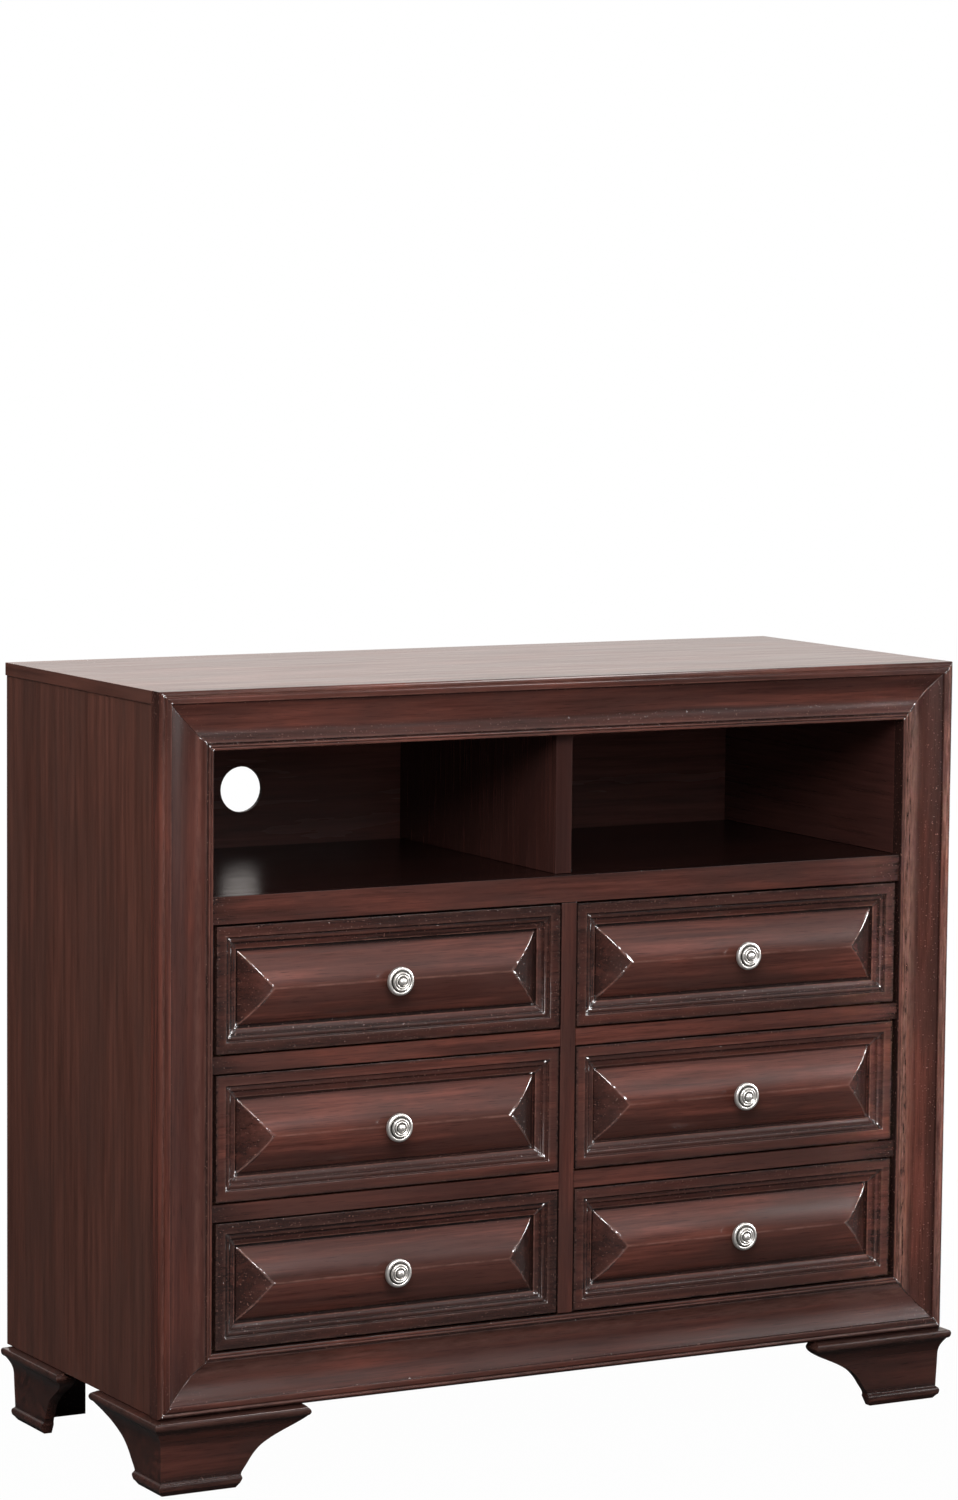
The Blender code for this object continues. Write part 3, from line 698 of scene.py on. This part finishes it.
# A drawer front: in from its edge, and behind its band
DRAWER_MOULDING = [
    (0, 20), (0, 0.6), (0, 0.6), (0.2, 0.2), (0.6, 0), (0.6, 0), (12.6, 0), (12.6, 0), (13.3, 0.25),
    (13.8, 0.9), (14, 2.2), (14, 2.2), (14.6, 3), (15.6, 3.2), (15.6, 3.2), (17.4, 3), (19.6, 3.4),
    (21.2, 4.5), (21.2, 4.5), (21.6, 5.9), (22.4, 6.2), (22.4, 6.2), (24.8, 6.6), (27.6, 7.6), (28.6, 8),
    (28.6, 8), (29.3, 8.1), (29.7, 8.6), (29.7, 8.6), (29.9, 11.2), (30.3, 12.4), (30.3, 12.4),
    (32.3, 12.5), (32.3, 12.5), (32.7, 10.5),
]
DRAWER_GLAZE = [
    (0, 1), (1.1, 1), (1.7, 0.6), (3, 0.54), (8, 0.48), (11.6, 0.46), (12.4, 0.35), (13.4, 0.75),
    (16.2, 0.8), (17.4, 0.66), (19.6, 0.62), (20.8, 0.8), (22.8, 0.75), (24, 0.55), (27.8, 0.5),
    (28.7, 0.3), (29.4, 0.3), (29.8, 0.9), (32.9, 0.9), (33.4, 0.45), (34.5, 0.15), (40, 0),
]
DRAWER_WEAR = [
    (0, 0.1), (0.5, 0.15), (1, 0), (11.8, 0), (12.8, 0.15), (13.6, 0.05), (14.4, 0), (16.8, 0), (18.4, 0.1),
    (20.6, 0), (27.8, 0), (28.8, 0.3), (29.5, 0.3), (29.8, 0),
]
# How wide the band is in metres, and how much of that glaze it has on each drawer
BAND_WIDTH = 0.013
BAND_SHARE = {
    "drawer_left_top": 1.45, "drawer_left_middle": 0.55, "drawer_left_bottom": 1.6,
    "drawer_right_top": 1.15, "drawer_right_middle": 0.15, "drawer_right_bottom": 0.9,
}
# A knob: out from its axis, and forward of its seat
KNOB_PROFILE = [
    (0, 22.5), (2.2, 22.3), (3.9, 21.6), (5, 20.5), (5.5, 19.5), (5.5, 19.5), (6.1, 18.9), (6.7, 19.5),
    (7.3, 20.1), (8, 20.2), (8.6, 19.8), (9, 19.1), (9, 19.1), (9.4, 18.7), (9.9, 19), (9.9, 19),
    (10.5, 19.4), (11.2, 19.3), (11.9, 18.6), (12.4, 17.5), (12.4, 17.5), (12.9, 16.5), (13.7, 16.2),
    (13.7, 16.2), (14.6, 16.9), (16, 17), (17.3, 16.4), (18.1, 15.2), (18.3, 13.7), (17.9, 12.5),
    (16.6, 11.8), (13, 11.2), (9.5, 10.4), (7, 9.2), (5.8, 7.6), (5.3, 5.5), (5.4, 3.6), (6.3, 2.2),
    (6.3, 2.2), (7.4, 1.7), (7.7, 1), (7.7, 0),
]
KNOB_GLAZE = [(0, 0), (4.9, 0), (5.6, 1), (6.4, 0.9), (6.9, 0), (8.6, 0), (9.1, 0.8), (9.6, 0.7),
              (10.1, 0), (12, 0), (12.6, 1), (13.8, 1), (14.3, 0), (18.4, 0)]
# A foot's section: out from its body's face, and up from the floor
FOOT_SECTION = [
    (-2.5, 0), (-0.8, 2.2), (1.4, 4.9), (1.4, 4.9), (2.9, 6.4), (3.6, 8.6), (3.9, 11), (3.5, 13.2),
    (2.4, 14.8), (0.6, 16.2), (0, 17.2), (0, 17.2), (0.2, 25), (0.9, 45), (1.3, 59), (1.6, 64), (2.4, 69),
    (4.4, 74.6), (7.2, 79.6), (10, 83.6), (10, 83.6), (12.2, 84.6), (13.6, 86.6), (14.2, 89.4),
    (14.1, 91.8), (13.3, 93.6), (12.2, 94.5), (12.2, 94.5), (5, 96.7),
]
FOOT_GLAZE = [(0, 0.6), (5, 0.5), (8, 0.15), (14.5, 0.2), (17.5, 0.7), (24, 0.15), (60, 0.1),
              (76, 0.35), (83.6, 0.9), (86, 0.55), (91, 0.35), (95, 0.35), (97, 0.6)]
FOOT_WEAR = [(0, 0), (6, 0), (9.5, 0.25), (13, 0.05), (60, 0), (82.8, 0), (84.2, 0.2), (86, 0.05),
             (90.4, 0.25), (93, 0.15), (94.6, 0.25), (96, 0)]
# The scroll under a foot's arm: shares of the way from waist to tip, and of the foot's height
FOOT_SCROLL = [
    (0, 0.13), (0, 0.19), (0.08, 0.3), (0.17, 0.42), (0.285, 0.525), (0.43, 0.605), (0.585, 0.672),
    (0.78, 0.752), (0.93, 0.83), (0.995, 0.89), (1, 0.935), (0.94, 1),
]


def metres(points):
    """Points given in millimetres, as metres."""
    return [tuple(0.001 * c for c in point) for point in points]


def by_metre(table):
    """A table whose places are given in millimetres, with its places in metres."""
    return [(0.001 * at, value) for at, value in table]


# Operators

class CHEST_OT_boards(bpy.types.Operator):
    """Model the top, the sides, the bays and the inner boards"""
    bl_idname = "chest.boards"
    bl_label = "Boards"

    def execute(self, context):
        f = finishes()
        edge = context.scene.chest_mouldings.board_edge
        boards = {
            "top_panel": (f.cherry_top, "dark_cherry"),
            "side_panel_left": (f.cherry_side, "dark_cherry_side"),
            "side_panel_right": (f.cherry_side, "dark_cherry_side"),
            "shelf_board": (f.bay_shelf, "dark_cherry_bay"),
            "bay_divider": (f.bay_along_z, "dark_cherry_bay"),
            "bay_liner_left": (f.bay_along_y, "dark_cherry_bay"),
            "bay_liner_right": (f.bay_along_y, "dark_cherry_bay"),
            "centre_partition": (f.box_wood_along_z, "drawer_box_wood"),
        }
        for node, (material, slot) in boards.items():
            low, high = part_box(node)
            piece = settle(add_block(node + "_piece", low, high, edge))
            finish(piece, material, "carcass", slot, node)
            if node == "top_panel":
                # Only the top's upward faces take the lighter top stain, the rest the side's: painted light
                # on the top
                use_beside(piece, f.cherry_top_edge, lambda normal: normal.z < FACES_UP)
        return {"FINISHED"}


class CHEST_OT_inner_rails(bpy.types.Operator):
    """Model the shelf's front rail and the stile between the drawer columns"""
    bl_idname = "chest.inner_rails"
    bl_label = "Inner Rails"

    def execute(self, context):
        f = finishes()
        edge = context.scene.chest_mouldings.board_edge
        for node, material in (("shelf_front_rail", f.plain_x), ("centre_stile", f.plain_z)):
            low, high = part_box(node)
            piece = settle(add_block(node + "_piece", low, high, edge))
            glaze_edges_and_shade_gaps(piece, low, high)
            finish(piece, material, "carcass", "dark_cherry", node)
            if node == "shelf_front_rail":
                # The rail's top takes the bay shelf's dark tones: painted shade, as on the shelf
                use_beside(piece, f.bay_shelf, lambda normal: normal.z > FACES_UP)
        return {"FINISHED"}


def glaze_edges_and_shade_gaps(piece, low, high):
    """Dark glaze close to a rail's long front edges, and full glaze on all of it behind its face: painted
    shade in the gaps beside the rail.
    """
    reach = 0.001

    def depth_of(place):
        near = min(place.x - low[0], high[0] - place.x, place.z - low[2], high[2] - place.z)
        # Behind the face: full glaze, painted shade
        return 1.0 if place.y > low[1] + reach else table_value([(0, 1), (reach, 0.1)], near)

    paint(piece, "glaze", depth_of)
    paint(piece, "wear", lambda place: 0.0)


class CHEST_OT_front_frame(bpy.types.Operator):
    """Model the four mitred members of the front frame"""
    bl_idname = "chest.front_frame"
    bl_label = "Front Frame"

    def execute(self, context):
        f = finishes()
        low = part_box("frame_left_stile")[0]
        foremost, half = low[1], -low[0]
        top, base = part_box("frame_top_rail")[1][2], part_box("frame_bottom_rail")[0][2]
        path = smooth_path(metres(FRAME_MOULDING), 4)
        fit = CLEARANCE / math.sqrt(2)
        groove = context.scene.chest_mouldings.mitre_groove
        stile = add_outline("frame_left_stile_piece", [(-half + w, foremost + d, base) for w, d in path])
        draw_out(stile, (0, 0, top - base))
        for end, sign in ((base + fit, -1), (top - fit, 1)):
            place, normal = (-half, 0, end), (1, 0, sign)
            cut_off(stile, place, normal)
            ease_mitre(stile, place, normal, groove)
        settle(stile, 28)
        other = mirror_piece(stile, "frame_right_stile_piece")
        for piece, node in ((stile, "frame_left_stile"), (other, "frame_right_stile")):
            self.paint_member(piece, node, lambda p: half - abs(p.x), foremost)
            finish(piece, f.member_z, "carcass", "dark_cherry", node)

        for node, sign, edge in (("frame_top_rail", -1, top), ("frame_bottom_rail", 1, base)):
            rail = add_outline(node + "_piece", [(-half, foremost + d, edge + sign * w) for w, d in path])
            draw_out(rail, (2 * half, 0, 0))
            for side in (-1, 1):
                place, normal = (side * (half - fit), 0, edge), (side, 0, sign)
                cut_off(rail, place, normal)
                ease_mitre(rail, place, normal, groove)
            settle(rail, 28)
            self.paint_member(rail, node, lambda p, e=edge: abs(p.z - e), foremost)
            finish(rail, f.member_x, "carcass", "dark_cherry", node)
        return {"FINISHED"}

    def paint_member(self, piece, node, across, foremost):
        """Glaze and wear by the distance from the frame's outer edge, each member's own painted shade and
        light besides, and full glaze as painted shade on the inner faces behind the opening's edge.
        """
        glaze, added_glaze_and_shade = by_metre(FRAME_GLAZE), by_metre(MEMBER_GLAZE_AND_SHADE[node])
        wear, added_wear_and_light = by_metre(FRAME_WEAR), by_metre(MEMBER_WEAR_AND_LIGHT[node])
        inner, lit = 0.001 * FRAME_MOULDING[-1][0], 0.001 * FRAME_MOULDING[-4][1]

        def glaze_at(place):
            # Inner faces behind the opening's edge: full glaze, painted shade in the recess
            if across(place) > inner - SAME and place.y - foremost > lit + 5 * SAME:
                return 1.0
            return max(table_value(glaze, across(place)), table_value(added_glaze_and_shade, across(place)))

        paint(piece, "glaze", glaze_at)
        paint(piece, "wear", lambda p: table_value(wear, across(p)) + table_value(added_wear_and_light, across(p)))


def ease_mitre(piece, place, normal, depth):
    """Ease a member's front at one mitre, so that a fine groove shows along the joint."""
    inside = [p - 1.5 * depth * c / math.sqrt(2) for p, c in zip(place, normal)]
    select_mesh()
    bpy.ops.mesh.bisect(plane_co=inside, plane_no=normal, threshold=AT_CUT)
    back = max(v.co.y for v in bmesh.from_edit_mesh(piece.data).verts)
    flat = Vector(normal).normalized()

    def on_joint(v):
        return abs((v.co - Vector(place)).dot(flat)) < 2 * DOUBLED and v.co.y < back - 10 * SAME

    select_where(piece, "verts", on_joint)
    bpy.ops.transform.translate(value=(0, depth, 0))


class CHEST_OT_runner_frames(bpy.types.Operator):
    """Finish the runner frames, the bottom and the back panel"""
    bl_idname = "chest.runner_frames"
    bl_label = "Runner Frames"

    def execute(self, context):
        f = finishes()
        for level in ("upper", "lower"):
            for column in COLUMNS:
                give_material(f"runner_frame_{level}_{column}", f.plain_x)
        give_material("bottom_panel", f.box_wood_along_x)
        give_material("back_panel", f.bay_back)
        return {"FINISHED"}


class CHEST_OT_drawer_fronts(bpy.types.Operator):
    """Model one drawer front with its raised field, and copy it to the six drawers"""
    bl_idname = "chest.drawer_fronts"
    bl_label = "Drawer Fronts"

    def execute(self, context):
        f = finishes()
        sizes = context.scene.chest_mouldings
        low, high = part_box("drawer_left_top_front")
        middle = [(a + b) / 2 for a, b in zip(low, high)]
        half_x, half_z = (high[0] - low[0]) / 2, (high[2] - low[2]) / 2
        band = low[1] + sizes.field_ridge_rise
        rings = [(u, u, d) for u, d in smooth_path(metres(DRAWER_MOULDING), 3)]
        edge, _, edge_depth = rings[-1]
        ridge_half, steps, pillow = 0.0004, 14, 0.85
        hip_start, behind = edge - 0.0006, band + 0.014
        for step in range(1, steps + 1):
            s = step / steps
            lift = (1 + pillow) * s - pillow * s * s
            rings.append((edge + s * sizes.field_hip_run, edge + s * (half_z - ridge_half - edge),
                          edge_depth - lift * (edge_depth + sizes.field_ridge_rise)))
        run_x, run_z, depth = rings[0]
        piece = add_outline("drawer_front_model", [
            (middle[0] + side * (half_x - run_x), band + depth, middle[2] + end * (half_z - run_z))
            for side, end in ((-1, -1), (1, -1), (1, 1), (-1, 1))])
        select_mesh()
        for (ax, az, ad), (bx, bz, bd) in zip(rings, rings[1:]):
            bpy.ops.mesh.extrude_region_move(TRANSFORM_OT_translate={"value": (0, bd - ad, 0)})
            scale = ((half_x - bx) / (half_x - ax), 1, (half_z - bz) / (half_z - az))
            bpy.ops.transform.resize(value=scale, center_override=middle)

        def is_hip(e):
            a, b = (v.co for v in e.verts)
            if max(a.y, b.y) > band + edge_depth + SAME or abs(a.x - b.x) < SAME or abs(a.z - b.z) < SAME:
                return False
            return all(half_x - abs(c.x - middle[0]) > hip_start for c in (a, b))

        select_where(piece, "edges", is_hip)
        bpy.ops.mesh.bevel(offset=sizes.hip_round, segments=3, affect="EDGES", clamp_overlap=True)
        settle(piece, 24)
        glaze, wear = by_metre(DRAWER_GLAZE), by_metre(DRAWER_WEAR)

        def in_from_edge(place):
            return min(half_x - abs(place.x - middle[0]), half_z - abs(place.z - middle[2]))

        # Faces deeper than the moulding, in the gaps and at the back: full glaze, painted shade
        paint(piece, "glaze", lambda p: 1.0 if p.y > behind else table_value(glaze, in_from_edge(p)))
        paint(piece, "wear", lambda p: table_value(wear, in_from_edge(p)))
        paint_place(piece, middle)

        def shade(copy, body):
            """Give one drawer its own depth of glaze, most of all on its band."""
            stored = copy.data.attributes
            on_band = BAND_SHARE[body]
            on_field = 0.7 + 0.3 * on_band
            for amount, place in zip(stored["glaze"].data, stored["from_middle"].data):
                near = min(half_x - abs(place.vector.x), half_z - abs(place.vector.z))
                if amount.value < 1.0:
                    amount.value = min(1.0, amount.value * (on_band if near < BAND_WIDTH else on_field))

        give_to_drawers(piece, "front", low, f.front_x, "dark_cherry", shade)
        return {"FINISHED"}


class CHEST_OT_drawer_boxes(bpy.types.Operator):
    """Model the sides, back and bottom of each drawer"""
    bl_idname = "chest.drawer_boxes"
    bl_label = "Drawer Boxes"

    def execute(self, context):
        f = finishes()
        edge, bottom_edge = context.scene.chest_mouldings.box_edge, 0.0004
        across, along = f.box_wood_along_x, f.box_wood_along_y
        boards = (("side_left", along, edge), ("side_right", along, edge), ("back", across, edge),
                  ("bottom", across, bottom_edge))
        for part, material, round_off in boards:
            low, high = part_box("drawer_left_top_" + part)
            model = settle(add_block("drawer_board_model", low, high, round_off, 3))
            give_to_drawers(model, part, low, material, "drawer_box_wood")
        return {"FINISHED"}


class CHEST_OT_knobs(bpy.types.Operator):
    """Turn one knob with its bolt, and copy it to the six drawers"""
    bl_idname = "chest.knobs"
    bl_label = "Knobs"

    def execute(self, context):
        f = finishes()
        low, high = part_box("drawer_left_top_knob")
        axis_x, axis_z = (low[0] + high[0]) / 2, (low[2] + high[2]) / 2
        seat = low[1] + 0.001 * KNOB_PROFILE[0][1]
        tail = seat - high[1]
        shank, head, worn_head = 0.002, 0.0045, 0.0038
        head_length, chamfer = 0.0026, 0.0008
        profile = smooth_path(metres(KNOB_PROFILE), 4)
        profile += [(shank, 0.0), (shank, tail + head_length), (head, tail + head_length),
                    (head, tail + chamfer), (worn_head, tail), (0.0, tail)]
        start_fresh()
        bpy.ops.mesh.primitive_plane_add(size=1, location=(0, 0, 0))
        piece = context.object
        piece.name = "knob_model"
        edit_mesh(piece)
        select_mesh()
        bpy.ops.mesh.merge(type="CENTER")
        bm = bmesh.from_edit_mesh(piece.data)
        for vert in bm.verts:
            vert.co = (axis_x + profile[0][0], seat - profile[0][1], axis_z)
        bmesh.update_edit_mesh(piece.data)
        select_mesh()
        for (ra, ha), (rb, hb) in zip(profile, profile[1:]):
            bpy.ops.mesh.extrude_vertices_move(TRANSFORM_OT_translate={"value": (rb - ra, ha - hb, 0)})
        select_mesh()
        bpy.ops.mesh.spin(steps=72, angle=math.tau, center=(axis_x, seat, axis_z), axis=(0, 1, 0))
        settle(piece, 40)
        glaze = by_metre(KNOB_GLAZE)
        face_depth, neck_glaze = 0.0125, 0.35

        def depth_of(place):
            """The rings' glaze on the face, a little on the neck, and none on the bolt."""
            forward = seat - place.y
            if forward < face_depth:
                return neck_glaze if forward > 0 else 0.0
            return table_value(glaze, math.hypot(place.x - axis_x, place.z - axis_z))

        paint(piece, "glaze", depth_of)
        give_to_drawers(piece, "knob", low, f.nickel, "brushed_nickel")
        return {"FINISHED"}


class CHEST_OT_feet(bpy.types.Operator):
    """Model a front and a rear bracket foot, and mirror both"""
    bl_idname = "chest.feet"
    bl_label = "Feet"

    def execute(self, context):
        sizes = context.scene.chest_feet
        low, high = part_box("foot_front_left")
        corner = Vector((low[0] + sizes.cap, low[1] + sizes.cap, 0))
        right, back = Vector((1, 0, 0)), Vector((0, 1, 0))
        arms = [(right, -back, sizes.front_waist, high[0] - corner.x),
                (back, -right, sizes.side_waist, high[1] - corner.y)]
        self.make_foot("foot_front", corner, high[2], arms)
        low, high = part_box("foot_back_left")
        corner = Vector((low[0] + sizes.cap, high[1] - sizes.cap, 0))
        arms = [(right, back, None, sizes.back_arm),
                (-back, -right, sizes.rear_waist, corner.y - low[1])]
        self.make_foot("foot_back", corner, high[2], arms)
        return {"FINISHED"}

    def make_foot(self, name, corner, height, arms):
        """One left foot of two mitred arms with their scrolls cut, and its mirror image."""
        f = finishes()
        bars = [self.make_arm(corner, height, arm, other[1]) for arm, other in (arms, arms[::-1])]
        choose(bars[0])
        bars[1].select_set(True)
        bpy.ops.object.join()
        foot = bars[0]
        foot.name = name + "_left_piece"
        settle(foot)
        for arm in arms:
            if arm[2]:
                cut_away(foot, self.make_scroll(corner, height, *arm))
        settle(foot, 30)
        glaze, wear = by_metre(FOOT_GLAZE), by_metre(FOOT_WEAR)
        off_inner_face, inside_shade = 0.004, 0.9

        def shows(place):
            """Whether a point lies on the foot's outer faces."""
            out = max((place - corner).dot(outward) for _, outward, _, _ in arms)
            return out > off_inner_face - bpy.context.scene.chest_feet.thickness

        # The inner faces: nearly full glaze, painted shade inside the feet
        paint(foot, "glaze", lambda p: table_value(glaze, p.z) if shows(p) else inside_shade)
        paint(foot, "wear", lambda p: table_value(wear, p.z) if shows(p) else 0.0)
        finish(foot, f.foot, "carcass", "dark_cherry", name + "_left")
        other = mirror_piece(foot, name + "_right_piece")
        finish(other, f.foot, "carcass", "dark_cherry", name + "_right")

    def make_arm(self, corner, height, arm, other_outward):
        """One arm: the foot's section drawn out along it, cut at the mitre and left open there."""
        along, outward, waist, reach = arm
        thickness = bpy.context.scene.chest_feet.thickness
        scale = height / (0.001 * FOOT_SECTION[-1][1])
        path = [(o, h * scale) for o, h in smooth_path(metres(FOOT_SECTION), 3)]
        path += [(-thickness, height), (-thickness, 0.0)]
        past_corner, past_scroll = 0.03, 0.004 if waist else 0.0
        start = corner - along * past_corner
        bar = add_outline("foot_arm", [start + outward * o + Vector((0, 0, h)) for o, h in path])
        draw_out(bar, along * (reach + past_corner + past_scroll))
        cut_off(bar, corner, other_outward - outward, fill=False)
        return bar

    def make_scroll(self, corner, height, along, outward, waist, reach):
        """What is cut away under an arm."""
        sizes = bpy.context.scene.chest_feet
        past, low = 0.012, -0.004
        curve = [(waist + a * (reach - waist), h * height) for a, h in smooth_path(FOOT_SCROLL, 4)]
        high = height + past
        outline = [(waist - sizes.toe, low), (waist - sizes.toe, 0.0), *curve,
                   (curve[-1][0], high), (reach + past, high), (reach + past, low)]
        start = corner + outward * (sizes.cap + past)
        tool = add_outline("foot_scroll", [start + along * run + Vector((0, 0, h)) for run, h in outline])
        draw_out(tool, -outward * (sizes.cap + sizes.thickness + 2 * past))
        return settle(tool)


class CHEST_OT_room(bpy.types.Operator):
    """Set up the floor, the light and the camera"""
    bl_idname = "chest.room"
    bl_label = "Room"

    def execute(self, context):
        room = context.scene.chest_room
        self.add_camera(context, room)
        self.add_floor(room)
        self.add_light(context)
        context.scene.view_settings.view_transform = "Standard"
        return {"FINISHED"}

    def add_camera(self, context, room):
        """The camera at the photograph's place."""
        turn = (Matrix.Rotation(-room.camera_azimuth, 4, "Z")
                @ Matrix.Rotation(math.pi / 2 - room.camera_dip, 4, "X")
                @ Matrix.Rotation(-room.camera_roll, 4, "Z"))
        start_fresh()
        bpy.ops.object.camera_add()
        camera = context.object
        camera.name = "photo_camera"
        camera.matrix_world = Matrix.Translation(Vector(room.camera_place)) @ turn
        camera.data.lens = room.lens
        camera.data.sensor_width = 36
        context.scene.camera = camera

    def add_floor(self, room):
        """A wide pale floor."""
        start_fresh()
        floor_width, fade_start, fade_end = 60, 0.8, 1.8
        bpy.ops.mesh.primitive_plane_add(size=floor_width, location=(0, 0, 0))
        floor = bpy.context.object
        floor.name = "studio_floor"
        n = Nodes(bpy.data.materials.new("studio_floor"))
        seen = n.add("LightPath").outputs
        colour_seen = n.mix(n.times(seen["Is Glossy Ray"], 0.75), room.floor_colour, (0, 0, 0))
        shader = n.surface(Base_Color=colour_seen, Roughness=0.9, Specular_IOR_Level=0.1)
        away = n.add("VectorMath", {0: n.add("TexCoord").outputs["Object"]}, operation="LENGTH")
        whiteness = n.fade(away.outputs["Value"], fade_start, fade_end, 0.985, 1)
        white = n.add("Emission", {"Color": (1, 1, 1), "Strength": 1})
        blend = n.add("MixShader", {0: n.times(seen["Is Camera Ray"], whiteness), 1: shader.outputs[0],
                                    2: white.outputs[0]})
        n.fill(n.tree.nodes["Material Output"], {"Surface": blend.outputs[0]})
        floor.data.materials.append(n.owner)

    def add_light(self, context):
        """A plain soft room, white behind the chest, and soft lamps."""
        world = bpy.data.worlds.new("studio")
        context.scene.world = world
        n = Nodes(world)
        path = n.add("LightPath").outputs
        towards = n.add("TexCoord").outputs["Generated"]
        away_from_camera, above_front = (0.485, 0.870, 0.08), (0.47, -0.67, 0.57)
        behind = n.facing(towards, away_from_camera, 0.62, 0.84)
        ahead = n.facing(towards, above_front, 0.84, 0.995)
        gloss = n.larger(n.plus(n.times(ahead, 0.43), 0.08), behind)
        level = n.blend(path["Is Glossy Ray"], 0.30, gloss)
        seen = n.larger(path["Is Camera Ray"], path["Is Transmission Ray"])
        warm = n.times(path["Is Glossy Ray"], behind)
        n.fill(n.tree.nodes["Background"], {"Strength": n.blend(seen, level, 1),
                                            "Color": n.mix(warm, (1, 1, 1), (0.94, 0.87, 0.83))})
        # Name, place, size, power and whether it shows in gloss alone or lights the surfaces alone
        lamps = [
            ("key", (-1.4, -2.6, 2.3), (1.4, 1.1), 102.0, False),
            ("left", (-2.6, -1.0, 2.4), (1.2, 1.2), 50.0, False),
            ("fill", (-0.9, -3.4, 0.95), (1.0, 0.6), 19.0, False),
            ("strip", (1.90, -2.00, 0.74), (0.06, 0.80), 0.6, False),
            ("rear", (1.30, 3.20, 1.10), (1.40, 1.00), 40.0, False),
            ("right_glint", (4.00, -1.90, 1.75), (2.40, 1.30), 410.0, True),
            ("front_glint", (0.00, -4.40, 2.10), (1.40, 1.20), 190.0, True),
            ("left_glint", (-1.10, -3.50, 3.00), (1.00, 1.00), 180.0, True),
            ("over_glint", (1.15, -0.25, 3.00), (1.50, 0.35), 25.0, True),
        ]
        # Where a lamp points and how wide it spreads
        at_chest = ((0, 0, 0.55), math.pi)
        aims = {"strip": ((0.575, -0.22, 0.55), math.radians(8))}
        for name, place, (width, height), power, shines in lamps:
            aim, spread = aims.get(name, at_chest)
            start_fresh()
            bpy.ops.object.light_add(type="AREA", location=place)
            lamp = context.object
            lamp.name = name + "_lamp"
            lamp.data.shape = "RECTANGLE"
            lamp.data.size, lamp.data.size_y = width, height
            lamp.data.energy = power
            lamp.visible_glossy = shines
            lamp.visible_diffuse = not shines
            lamp.data.spread = spread
            lamp.rotation_mode = "QUATERNION"
            lamp.rotation_quaternion = (Vector(aim) - Vector(place)).to_track_quat("-Z", "Y")


OPERATORS = (
    CHEST_OT_boards,
    CHEST_OT_inner_rails,
    CHEST_OT_front_frame,
    CHEST_OT_runner_frames,
    CHEST_OT_drawer_fronts,
    CHEST_OT_drawer_boxes,
    CHEST_OT_knobs,
    CHEST_OT_feet,
    CHEST_OT_room,
)


class CHEST_PT_panel(bpy.types.Panel):
    """The chest's sizes, colours and steps"""
    bl_idname = "CHEST_PT_panel"
    bl_label = "Media Chest"
    bl_space_type = "VIEW_3D"
    bl_region_type = "UI"
    bl_category = "Chest"

    def draw(self, context):
        layout = self.layout
        for name, group in SETTINGS.items():
            box = layout.box()
            for key in group.__annotations__:
                box.prop(getattr(context.scene, name), key)
        for operator in OPERATORS:
            layout.operator(operator.bl_idname)


SETTINGS = {
    "chest_finish": ChestFinish,
    "chest_mouldings": ChestMouldings,
    "chest_feet": ChestFeet,
    "chest_room": ChestRoom,
}
CLASSES = (*SETTINGS.values(), *OPERATORS, CHEST_PT_panel)


def register():
    """Register the classes and hang the settings on the scene."""
    for item in CLASSES:
        bpy.utils.register_class(item)
    for name, group in SETTINGS.items():
        setattr(bpy.types.Scene, name, bpy.props.PointerProperty(type=group))


def unregister():
    """Remove the settings and the classes."""
    for name in SETTINGS:
        delattr(bpy.types.Scene, name)
    for item in reversed(CLASSES):
        bpy.utils.unregister_class(item)


def main():
    """Model every piece."""
    register()
    bpy.ops.chest.boards()
    bpy.ops.chest.inner_rails()
    bpy.ops.chest.front_frame()
    bpy.ops.chest.runner_frames()
    bpy.ops.chest.drawer_fronts()
    bpy.ops.chest.drawer_boxes()
    bpy.ops.chest.knobs()
    bpy.ops.chest.feet()
    bpy.ops.chest.room()


if __name__ == "__main__":
    main()
